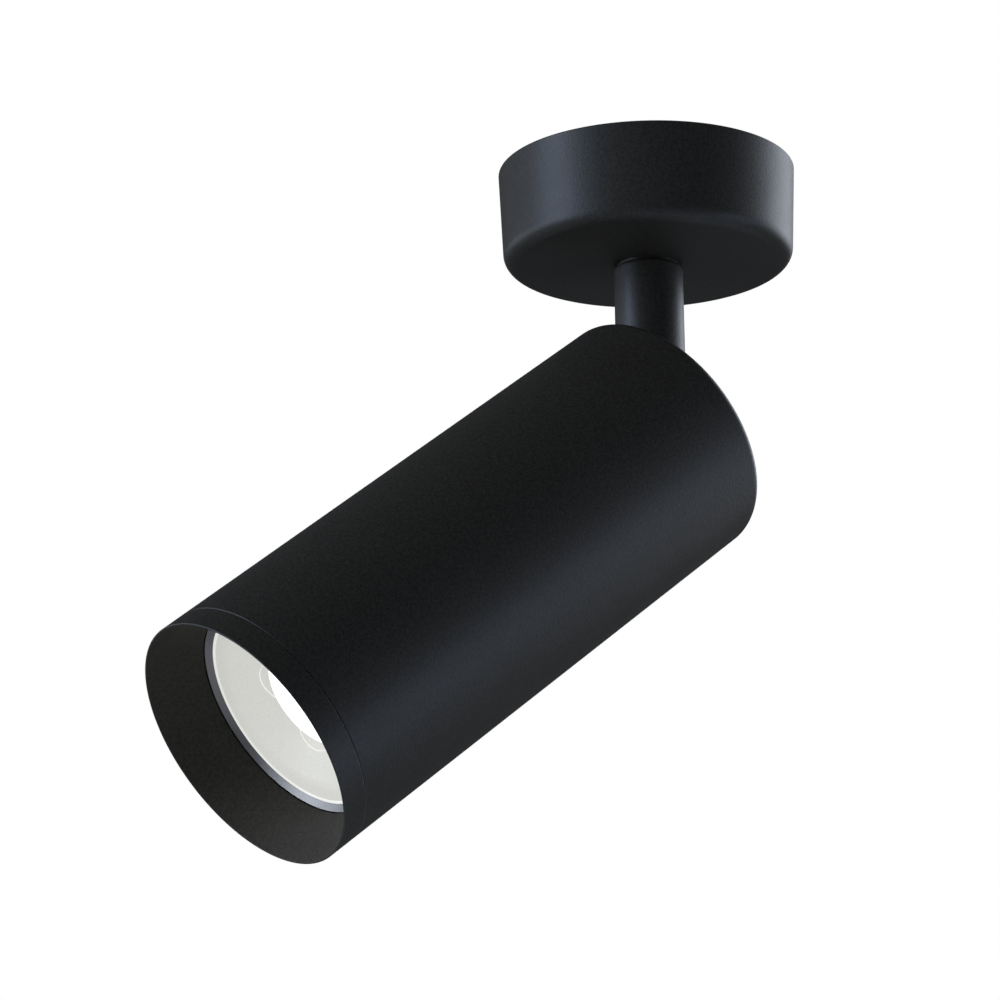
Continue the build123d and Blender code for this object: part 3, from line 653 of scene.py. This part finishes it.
lamp = {
    "frontGap": 0.1,        # baffle's throat to the lamp
    "radius": 25.5,
    "faceRadius": 24.05,
    "rimHeight": 3.2,
    "rimEdge": 0.03,
    "bevel": 1.35,          # width of the rim's bevel
    "fall": 1.0,            # and its depth
    "lensPlate": 1.8,
    "lensWall": 1.2,
    "lipWidth": 0.6,        # low lip round the frosted face
    "lipHeight": 0.2,
    "lipEdge": 0.06,
    "clearance": 0.05,      # of the lens in its rim and of the diffuser in the lens
    "dishRadius": 20.0,
    "dishRounding": 5.0,
    "dishLedge": 0.6,
    "windowRadius": 11.9,   # round window at the bottom of the dish
    "dishDepth": 4.8,
    "diffuserPlate": 1.2,
    "notchCount": 4,        # shallow scoops round the window
    "notchTurn": 35.5,      # degrees of the first one's middle
    "notchSpan": 50.0,      # degrees, where it meets the window
    "notchReach": 1.9,
    "notchDepth": 0.3,
    "notchSteps": 96,
    "notchRings": 4,
    "notchClear": 5.0,      # how far the scoop's cutter stands out of the dish
    "wallLean": 0.3,        # a face is a scoop's wall if no more of its direction is along the axis
    "wallInside": 0.02,     # and if it lies this far past the window's edge
    "wallOutside": 0.1,     # and no more than this past the scoops' ends
    "steps": 256,
}
lampFront = bezel["baffleDepth"] + lamp["frontGap"] - head["frontReach"]
lipFace = lampFront + lamp["fall"]
lampFace = lipFace + lamp["lipHeight"]
dishFloor = lampFace + lamp["dishDepth"]


def lampRim():
    back = lampFront + lamp["rimHeight"]
    outline = roundedOutline([
        (lamp["radius"], back),
        (lamp["radius"], lampFront, lamp["rimEdge"]),
        (lamp["faceRadius"] + lamp["bevel"], lampFront, lamp["rimEdge"]),
        (lamp["faceRadius"], lipFace, lamp["lipEdge"]),
        (lamp["faceRadius"], back),
    ])
    return turnedPiece("lampRim", outline, headPlace, lamp["steps"])


def notchCutter(middle):
    # a round scoop out of the window's edge, its bottom sunk below the dish's slope
    window = lamp["windowRadius"]
    slope = lamp["dishDepth"] / (lamp["dishRadius"] - window)
    tip = window + lamp["notchReach"]
    chord = window * math.cos(math.radians(lamp["notchSpan"] / 2))
    away = (tip ** 2 - window ** 2) / (2 * (tip - chord))
    front = dishFloor - lamp["notchClear"]
    mesh = bmesh.new()
    turns = [2 * math.pi * (i + 0.5) / lamp["notchSteps"] for i in range(lamp["notchSteps"])]
    rings = []
    for step in range(lamp["notchRings"] + 1):
        radius = step / lamp["notchRings"] * (tip - away)
        spots = [(away + radius * math.cos(t), radius * math.sin(t)) for t in (turns if step else turns[:1])]
        rises = [dishFloor + lamp["notchDepth"] - slope * (math.hypot(x, y) - window) for x, y in spots]
        rings.append([mesh.verts.new((x, y, rise)) for (x, y), rise in zip(spots, rises)])
    rings.append([mesh.verts.new((x, y, front)) for x, y in spots])
    rings.append([mesh.verts.new((away, 0, front))])
    joinRings(mesh, rings)
    return meshPiece("notchCutter", mesh, headPlace @ Matrix.Rotation(math.radians(middle), 4, "Z"))


def lampLens():
    outer = lamp["faceRadius"] - lamp["clearance"]
    lip = outer - lamp["lipWidth"]
    plateBack = lampFace + lamp["lensPlate"]
    wellBack = dishFloor + lamp["diffuserPlate"]
    outline = roundedOutline([
        (lamp["windowRadius"], dishFloor),
        (lamp["dishRadius"], lampFace, lamp["dishRounding"]),
        (lip, lampFace),
        (lip, lipFace, lamp["lipEdge"]),
        (outer, lipFace, lamp["lipEdge"]),
        (outer, plateBack),
        (lamp["dishRadius"] + lamp["dishLedge"], plateBack),
        (lamp["windowRadius"] + lamp["lensWall"], wellBack),
        (lamp["windowRadius"], wellBack),
    ])
    lens = turnedPiece("lampLens", outline, headPlace, lamp["steps"])
    for notch in range(lamp["notchCount"]):
        cutPiece(lens, notchCutter(lamp["notchTurn"] + 360 / lamp["notchCount"] * notch))
    dress(lens, "lamp", "lens_frosted", "lamp_lens")
    lens.data.materials.append(lensEdgeGlowPaintedGlint())
    farthest = lamp["notchReach"] + lamp["wallOutside"]
    for face, place in headFaces(lens):  # the lip and the scoops' walls, which carry the painted highlight
        onLip = place["reach"] > lip - lamp["clearance"] and place["height"] < lampFace
        pastWindow = place["reach"] - lamp["windowRadius"]
        onNotch = abs(place["along"]) < lamp["wallLean"] and lamp["wallInside"] < pastWindow < farthest
        if onLip or onNotch:
            face.material_index = 1


def lampDiffuser():
    radius = lamp["windowRadius"] - lamp["clearance"]
    back = dishFloor + lamp["diffuserPlate"]
    outline = [(0, dishFloor), (radius, dishFloor), (radius, back), (0, back)]
    return turnedPiece("lampDiffuser", outline, headPlace, lamp["steps"])


lampLens()
dress(lampRim(), "lamp", "lamp_rim_gloss", "lamp_rim")
dress(lampDiffuser(), "lamp", "diffuser", "lamp_diffuser")
print("lamp made")


smallScrew = {              # one number for each of the screws' named inputs
    "Head Radius": 2.7,
    "Head Height": 2.0,
    "Head Edge": 0.5,
    "Shank Radius": 1.5,
    "Shank Length": 14.8,
    "Thread Pitch": 0.5,
    "Thread Depth": 0.28,
    "Socket Flats": 2.5,
    "Socket Depth": 1.2,
}
screwMeshing = {
    "headSides": 48,
    "headSegments": 8,
    "shankSides": 30,
    "perTurn": 5.0,         # segments of the shank for each turn of its thread
    "overlap": 0.2,         # how far the shank is sunk in the head
    "seed": 7,
}
screwSums = {               # each from the inputs, a point's x, y and z, and the sums before it
    "edgeStart": ("SUBTRACT", "Head Height", "Head Edge"),
    "pastEdge": ("SUBTRACT", "z", "edgeStart"),
    "edgeRise": ("DIVIDE", "pastEdge", "Head Edge"),
    "edgeShare": ("MAXIMUM", "edgeRise", 0.0),
    "edgeCurve": ("POWER", "edgeShare", 2.0),
    "edgeFall": ("DIVIDE", "Head Edge", "Head Radius"),
    "fall": ("MULTIPLY", "edgeFall", "edgeCurve"),  # share of the radius that the rounded edge takes
    "headShare": ("SUBTRACT", 1.0, "fall"),
    "headX": ("MULTIPLY", "x", "headShare"),
    "headY": ("MULTIPLY", "y", "headShare"),
    "headMiddle": ("MULTIPLY", "Head Height", 0.5),
    "socketRadius": ("DIVIDE", "Socket Flats", math.sqrt(3)),
    "socketSpan": ("MULTIPLY", "Socket Depth", 2.0),
    "turns": ("DIVIDE", "Shank Length", "Thread Pitch"),
    "shankSegments": ("MULTIPLY", "turns", screwMeshing["perTurn"]),
    "shankSpan": ("ADD", "Shank Length", screwMeshing["overlap"]),
    "shankSink": ("SUBTRACT", screwMeshing["overlap"], "Shank Length"),
    "shankMiddle": ("MULTIPLY", "shankSink", 0.5),
    "angle": ("ARCTAN2", "y", "x"),
    "around": ("DIVIDE", "angle", 2 * math.pi),
    "climb": ("DIVIDE", "z", "Thread Pitch"),
    "unwound": ("SUBTRACT", "climb", "around"),
    "phase": ("FRACT", "unwound"),  # from 0 at one groove of the thread to 1 at the next
    "zigzag": ("MULTIPLY_ADD", "phase", 2.0, -1.0),
    "groove": ("ABSOLUTE", "zigzag"),
    "grooveShare": ("DIVIDE", "Thread Depth", "Shank Radius"),
    "cut": ("MULTIPLY", "groove", "grooveShare"),  # share of the radius that the thread takes
    "shankShare": ("SUBTRACT", 1.0, "cut"),
    "shankX": ("MULTIPLY", "x", "shankShare"),
    "shankY": ("MULTIPLY", "y", "shankShare"),
}


def screwTree():
    # socket head screws on the points of the input mesh, sizes in the input's units
    tree = bpy.data.node_groups.new("socketScrews", "GeometryNodeTree")
    tree.interface.new_socket("Geometry", in_out="INPUT", socket_type="NodeSocketGeometry")
    for size in smallScrew:
        tree.interface.new_socket(size, in_out="INPUT", socket_type="NodeSocketFloat")
    tree.interface.new_socket("Material", in_out="INPUT", socket_type="NodeSocketMaterial")
    tree.interface.new_socket("Geometry", in_out="OUTPUT", socket_type="NodeSocketGeometry")
    given = addNode(tree, "NodeGroupInput").outputs
    spot = addNode(tree, "GeometryNodeInputPosition").outputs[0]
    place = addNode(tree, "ShaderNodeSeparateXYZ", None, {0: spot}).outputs
    values = {size: given[size] for size in smallScrew} | {"x": place[0], "y": place[1], "z": place[2]}
    for name, (operation, *terms) in screwSums.items():
        links = {i: values[term] for i, term in enumerate(terms) if isinstance(term, str)}
        numbers = {i: term for i, term in enumerate(terms) if i not in links}
        values[name] = addNode(tree, "ShaderNodeMath", {"operation": operation} | numbers, links).outputs[0]
    # a drum for the head, a six-sided plug for its socket and the shank, each moved to its height
    cylinders = {
        "drum": ({"Vertices": screwMeshing["headSides"], "Side Segments": screwMeshing["headSegments"]},
                 {"Radius": values["Head Radius"], "Depth": values["Head Height"]}, "headMiddle"),
        "plug": ({"Vertices": 6},
                 {"Radius": values["socketRadius"], "Depth": values["socketSpan"]}, "Head Height"),
        "shank": ({"Vertices": screwMeshing["shankSides"]},
                  {"Side Segments": values["shankSegments"], "Radius": values["Shank Radius"],
                   "Depth": values["shankSpan"]}, "shankMiddle"),
    }
    shapes = {}
    for name, (settings, links, height) in cylinders.items():
        cylinder = addNode(tree, "GeometryNodeMeshCylinder", settings, links)
        lift = addNode(tree, "ShaderNodeCombineXYZ", None, {"Z": values[height]})
        shapes[name] = addNode(tree, "GeometryNodeTransform", None, {
            "Geometry": cylinder.outputs["Mesh"], "Translation": lift.outputs[0]}).outputs[0]
    # the drum's top edge is rounded and the thread winds round the shank, both by scaling their plan
    for name, x, y in (("drum", "headX", "headY"), ("shank", "shankX", "shankY")):
        wide = addNode(tree, "ShaderNodeCombineXYZ", None, {"X": values[x], "Y": values[y], "Z": values["z"]})
        shapes[name] = addNode(tree, "GeometryNodeSetPosition", None, {
            "Geometry": shapes[name], "Position": wide.outputs[0]}).outputs[0]
    socketed = addNode(tree, "GeometryNodeMeshBoolean", {"operation": "DIFFERENCE", "solver": "EXACT"},
                       {"Mesh 1": shapes["drum"], "Mesh 2": shapes["plug"]}).outputs["Mesh"]
    screw = addNode(tree, "GeometryNodeJoinGeometry")
    for shape in (socketed, shapes["shank"]):
        tree.links.new(shape, screw.inputs[0])
    # each screw stops at its own angle
    turn = addNode(tree, "FunctionNodeRandomValue", {
        "data_type": "FLOAT_VECTOR", "Min": (0, 0, 0), "Max": (0, 0, 2 * math.pi),
        "Seed": screwMeshing["seed"]})
    placed = addNode(tree, "GeometryNodeInstanceOnPoints", None, {
        "Points": given["Geometry"], "Instance": screw.outputs[0], "Rotation": turn.outputs["Value"]})
    solid = addNode(tree, "GeometryNodeRealizeInstances", None, {"Geometry": placed.outputs[0]})
    painted = addNode(tree, "GeometryNodeSetMaterial", None, {
        "Geometry": solid.outputs[0], "Material": given["Material"]})
    addNode(tree, "NodeGroupOutput", None, {0: painted.outputs[0]})
    return tree


socketScrews = screwTree()


def screwPiece(node, body, slotName, sizes, spots, place):
    # replaces a CAD node's screws; spots are their seats, heads along +Z before the place is applied
    data = bpy.data.meshes.new(node + "Made")
    data.from_pydata(spots, [], [])
    piece = bpy.data.objects.new(node + "Made", data)
    bpy.context.scene.collection.objects.link(piece)
    made = piece.modifiers.new("screws", "NODES")
    made.node_group = socketScrews
    inputs = sizes | {"Material": slotMaterials[slotName]}
    for item in socketScrews.interface.items_tree:
        if item.in_out == "INPUT" and item.name in inputs:
            made[item.identifier] = inputs[item.name]
    bakedPiece(piece)
    piece.data.transform(place @ Matrix.Scale(mm, 4))
    piece.data.shade_smooth()
    piece.data.set_sharp_from_angle(angle=math.radians(meshing["screwCrease"]))
    dress(piece, body, slotName, node)


# seat is where a screw's head sits along the screw's line, ring and reach how far that line is off the axis
hingeBlockScrews = smallScrew | {
    "ring": 22.5,
    "turn": 35.0,           # degrees from the hinge's line
    "seat": -13.2,
}
holderBracketScrews = smallScrew | {
    "Shank Length": 6.5,
    "reach": 22.5,
    "seat": -14.7,
}
holderScrews = smallScrew | {
    "Shank Length": 15.5,
    "reach": 10.6,
    "seat": -68.9,
}
canopyScrew = smallScrew | {
    "Head Height": 1.7,
    "Shank Length": 8.0,
    "Socket Flats": 2.0,
    "Socket Depth": 1.02,
    "seat": 35.116,
}
hingeBolt = smallScrew | {
    "Head Radius": 3.5,
    "Head Height": 2.1,
    "Shank Radius": 2.0,
    "Shank Length": 16.7,
    "Thread Pitch": 0.7,
    "Thread Depth": 0.35,
    "Socket Depth": 1.26,
    "seat": 7.25,
}
earthScrew = smallScrew | {
    "Head Radius": 3.6,
    "Head Height": 2.2,
    "Shank Radius": 2.0,
    "Shank Length": 2.3,
    "Thread Pitch": 0.7,
    "Thread Depth": 0.35,
    "Socket Depth": 1.32,
    "reach": -8.5,
    "seat": -2.3,
}
terminalFixingScrew = smallScrew | {
    "Head Radius": 2.2,
    "Head Height": 1.4,
    "Head Edge": 0.35,
    "Shank Radius": 1.3,
    "Shank Length": 8.5,
    "Thread Depth": 0.22,
    "Socket Flats": 1.5,
    "Socket Depth": 0.84,
    "reach": 10.3,
    "seat": -8.5,
}


def allScrews():
    frontwards = Matrix.Rotation(math.pi, 4, "X")  # heads towards the head's mouth, or down from the ceiling
    sideways = Matrix.Rotation(math.radians(-90), 4, "Y")
    ring, seat, aside = hingeBlockScrews["ring"], hingeBlockScrews["seat"], hingeBlockScrews["turn"]
    turns = [math.radians(middle + side * aside) for middle in (0, 180) for side in (-1, 1)]
    screwPiece("hinge_block_screws", "head", "zinc_steel", hingeBlockScrews,
               [(ring * math.cos(t), ring * math.sin(t), -seat) for t in turns], headPlace @ frontwards)
    for node, sizes in (("holder_bracket_screws", holderBracketScrews), ("holder_screws", holderScrews)):
        screwPiece(node, "head", "zinc_steel", sizes,
                   [(side * sizes["reach"], 0, -sizes["seat"]) for side in (-1, 1)], headPlace @ frontwards)
    screwPiece("canopy_screw", "ceiling_base", "black_screw", canopyScrew,
               [(-canopy["screwDrop"], 0, canopyScrew["seat"])], sideways)
    screwPiece("hinge_bolt", "head", "black_screw", hingeBolt,
               [(0, 0, hingeBolt["seat"])], headPlace @ sideways)
    screwPiece("earth_screw", "ceiling_base", "brass", earthScrew,
               [(0, -earthScrew["reach"], -earthScrew["seat"])], frontwards)
    screwPiece("terminal_fixing_screw", "ceiling_base", "zinc_steel", terminalFixingScrew,
               [(0, -terminalFixingScrew["reach"], -terminalFixingScrew["seat"])], frontwards)


allScrews()
print("screws made")

panNut = {
    "flats": 17.0,
    "bore": 5.05,
    "low": -17.85,
    "high": -12.85,
}
hingeNut = {                # its heights are along the hinge, from the head's middle
    "flats": 7.0,
    "bore": 2.05,
    "low": 7.25,
    "high": 9.45,
}
nutTurning = {
    "depth": 0.6,           # of what the corners stand out
    "margin": 0.1,
    "steps": 96,
}


def nutPiece(name, sizes, place):
    # a hexagon with its corners turned off on both faces
    low, high, half = sizes["low"], sizes["high"], sizes["flats"] / 2
    corner = sizes["flats"] / math.sqrt(3)
    mesh = bmesh.new()
    angles = [math.radians(60 * i) for i in range(6)]
    rings = [[mesh.verts.new((corner * math.cos(t), corner * math.sin(t), height)) for t in angles]
             for height in (low, high)]
    for i in range(6):
        j = (i + 1) % 6
        mesh.faces.new([rings[0][i], rings[0][j], rings[1][j], rings[1][i]])
    for ring in rings:
        mesh.faces.new(ring)
    nut = meshPiece(name, mesh, place)
    slope = (corner - half) * nutTurning["depth"]
    inner, outer = half - nutTurning["margin"], corner + nutTurning["margin"]
    blank = [(sizes["bore"], low), (inner, low), (outer, low + slope),
             (outer, high - slope), (inner, high), (sizes["bore"], high)]
    return cutPiece(nut, turnedPiece("blank", blank, place, nutTurning["steps"]), "INTERSECT")


nipple = {
    "radius": 5.0,
    "bore": 3.6,
    "low": -33.8,
    "high": -11.85,
    "pitch": 1.0,
    "groove": 0.55,
    "steps": 64,
}


def nippleTube():
    # a tube with its thread as rings
    low, high, pitch, radius = nipple["low"], nipple["high"], nipple["pitch"], nipple["radius"]
    root = radius - nipple["groove"]
    outline = [(nipple["bore"], high), (nipple["bore"], low), (root, low)]
    height = low + pitch / 2
    while height < high - pitch / 4:
        outline += [(radius, height), (root, height + pitch / 2)]
        height += pitch
    outline[-1] = (root, high)
    return turnedPiece("nippleTube", outline, ceilingPlace, nipple["steps"])


hingeLine = headPlace @ Matrix.Rotation(math.radians(90), 4, "Y")
dress(nutPiece("panNut", panNut, ceilingPlace), "stem", "zinc_steel", "pan_nut")
dress(nutPiece("hingeNut", hingeNut, hingeLine), "head", "zinc_steel", "hinge_nut")
dress(nippleTube(), "stem", "zinc_steel", "stem_nipple")
print("nuts made")

# pressed, moulded and cast pieces with their edges broken
brokenEdges = {             # millimetres
    "mounting_bracket": 0.12,
    "terminal_block": 0.15,
    "pan_stop_washer": 0.1,
    "stem_knuckle": 0.15,
    "hinge_block": 0.15,
    "hinge_yoke": 0.12,
    "holder_bracket": 0.12,
    "lamp_holder": 0.15,
}
for node, edgeWidth in brokenEdges.items():
    dress(softenedCopy(node, edgeWidth), bodyOf[node], slotOf[node], node)
print("edges broken")


studio = {
    "floorDrop": 1.2,       # metres below the ceiling face
    "floorSize": 2.4,       # metres, as the next one
    "fadeStart": 0.35,      # where the floor begins to pass into the white background
    "ambient": 0.5,         # light that dull surfaces get from the background
    "glossShare": 0.05,     # how much of the white background the gloss sees, past the dark studio
    "daylight": "#f1f6ff",  # faintly cool lights
    "floorColour": "#e8e8e8",
    "floorRoughness": 0.7,
    "aim": (0, -0.03, -0.08),  # what the lights look at, in metres
}


def studioWorld():
    world = bpy.data.worlds.new("studio")
    bpy.context.scene.world = world
    world.use_nodes = True
    tree = world.node_tree
    tree.nodes.clear()
    path = addNode(tree, "ShaderNodeLightPath")
    gloss = addNode(tree, "ShaderNodeMath", {"operation": "MULTIPLY", 1: studio["glossShare"]},
                    {0: path.outputs["Is Glossy Ray"]})
    seen = addNode(tree, "ShaderNodeMath", {"operation": "ADD"},
                   {0: path.outputs["Is Camera Ray"], 1: path.outputs["Is Transmission Ray"]})
    both = addNode(tree, "ShaderNodeMath", {"operation": "ADD", "use_clamp": True},
                   {0: seen.outputs[0], 1: gloss.outputs[0]})
    white = linearColour("#ffffff")
    level = addNode(tree, "ShaderNodeBackground", {"Color": white, "Strength": studio["ambient"]})
    glow = addNode(tree, "ShaderNodeBackground", {"Color": white, "Strength": 1.0})
    dark = addNode(tree, "ShaderNodeBackground", {"Color": linearColour("#000000"), "Strength": 0.0})
    diffuseOrDark = addNode(tree, "ShaderNodeMixShader", None, {
        "Fac": path.outputs["Is Glossy Ray"], 1: level.outputs[0], 2: dark.outputs[0]})
    mix = addNode(tree, "ShaderNodeMixShader", None, {
        "Fac": both.outputs[0], 1: diffuseOrDark.outputs[0], 2: glow.outputs[0]})
    addNode(tree, "ShaderNodeOutputWorld", None, {"Surface": mix.outputs[0]})


def softLight(name, place):
    # area light that looks at the object
    source = bpy.data.lights.new(name, "AREA")
    source.shape = "RECTANGLE"
    source.size = place["width"]
    source.size_y = place["tall"]
    source.energy = place["watts"]
    source.color = linearColour(studio["daylight"])[:3]
    light = bpy.data.objects.new(name, source)
    turn = math.radians(photoView["azimuth"] + place["azimuth"])
    aside, ahead = math.sin(turn) * place["distance"], -math.cos(turn) * place["distance"]
    aim = Vector(studio["aim"])
    light.location = aim + Vector((aside, ahead, place["height"]))
    light.rotation_euler = (aim - light.location).to_track_quat("-Z", "Y").to_euler()
    light.visible_camera = False
    bpy.context.scene.collection.objects.link(light)


def studioFloor():
    mesh = bmesh.new()
    bmesh.ops.create_grid(mesh, x_segments=1, y_segments=1, size=studio["floorSize"] / 2 / mm)
    place = Matrix.Translation((0, 0, -studio["floorDrop"]))
    floor = meshPiece("floor", mesh, place)
    material, tree, body = newMaterial("paintedFloor", {
        "Base Color": linearColour(studio["floorColour"]), "Roughness": studio["floorRoughness"]})
    spot = addNode(tree, "ShaderNodeTexCoord")
    level = addNode(tree, "ShaderNodeVectorMath", {"operation": "MULTIPLY", 1: (1, 1, 0)},
                    {0: spot.outputs["Object"]})
    reach = addNode(tree, "ShaderNodeVectorMath", {"operation": "LENGTH"}, {0: level.outputs["Vector"]})
    fade = addNode(tree, "ShaderNodeMapRange", {
        "interpolation_type": "SMOOTHSTEP", "From Min": studio["fadeStart"],
        "From Max": studio["floorSize"] / 2}, {"Value": reach.outputs["Value"]})
    path = addNode(tree, "ShaderNodeLightPath")
    share = addNode(tree, "ShaderNodeMath", {"operation": "MULTIPLY"},
                    {0: fade.outputs["Result"], 1: path.outputs["Is Camera Ray"]})
    white = addNode(tree, "ShaderNodeEmission", {"Color": linearColour("#ffffff"), "Strength": 1.0})
    output = next(node for node in tree.nodes if node.type == "OUTPUT_MATERIAL")
    mix = addNode(tree, "ShaderNodeMixShader", None, {
        "Fac": share.outputs[0], 1: body.outputs["BSDF"], 2: white.outputs[0]})
    tree.links.new(mix.outputs[0], output.inputs["Surface"])
    floor.data.materials.append(material)


photoView = {
    "azimuth": 58.11,       # degrees about the ceiling's normal
    "elevation": 14.954,    # upwards
    "roll": -0.745,
    "distance": 0.796125,   # metres from the aim to the camera, along the view
    "right": -0.035512,
    "up": -0.039586,
    "aimDrop": 0.040,
    "lens": 121.006,        # focal length and sensor width in millimetres
    "sensor": 36.0,
    "clipStart": 0.05,      # metres
}


def photoCamera():
    data = bpy.data.cameras.new("camera")
    data.lens = photoView["lens"]
    data.sensor_width = photoView["sensor"]
    data.clip_start = photoView["clipStart"]
    camera = bpy.data.objects.new("camera", data)
    turn = Matrix.Rotation(math.radians(photoView["azimuth"]), 4, "Z")
    turn @= Matrix.Rotation(math.radians(90 + photoView["elevation"]), 4, "X")
    turn @= Matrix.Rotation(math.radians(photoView["roll"]), 4, "Z")
    aside = Matrix.Translation((photoView["right"], photoView["up"], photoView["distance"]))
    camera.matrix_world = Matrix.Translation((0, 0, -photoView["aimDrop"])) @ turn @ aside
    bpy.context.scene.collection.objects.link(camera)
    bpy.context.scene.camera = camera


studioWorld()
studioFloor()
photoCamera()
studioLights = {  # azimuth in degrees to the right of the camera, lengths in metres
    "rightRim": {
        "azimuth": 124, "height": 0.4, "distance": 1.2, "width": 0.8, "tall": 1.0, "watts": 13.5},
    "rightLow": {
        "azimuth": 78, "height": -0.55, "distance": 1.5, "width": 0.6, "tall": 1.0, "watts": 6},
    "leftSoft": {
        "azimuth": -74, "height": 0.25, "distance": 1.3, "width": 0.4, "tall": 1.3, "watts": 22},
    "leftPanel": {
        "azimuth": -124, "height": 0.1, "distance": 1.4, "width": 1.2, "tall": 1.6, "watts": 1.2},
    "mouthPanel": {
        "azimuth": -110, "height": 0.03, "distance": 0.59, "width": 0.45, "tall": 0.16, "watts": 0.8},
}
for name, place in studioLights.items():
    softLight(name, place)
bpy.context.scene.view_settings.view_transform = "Standard"
print("studio made")
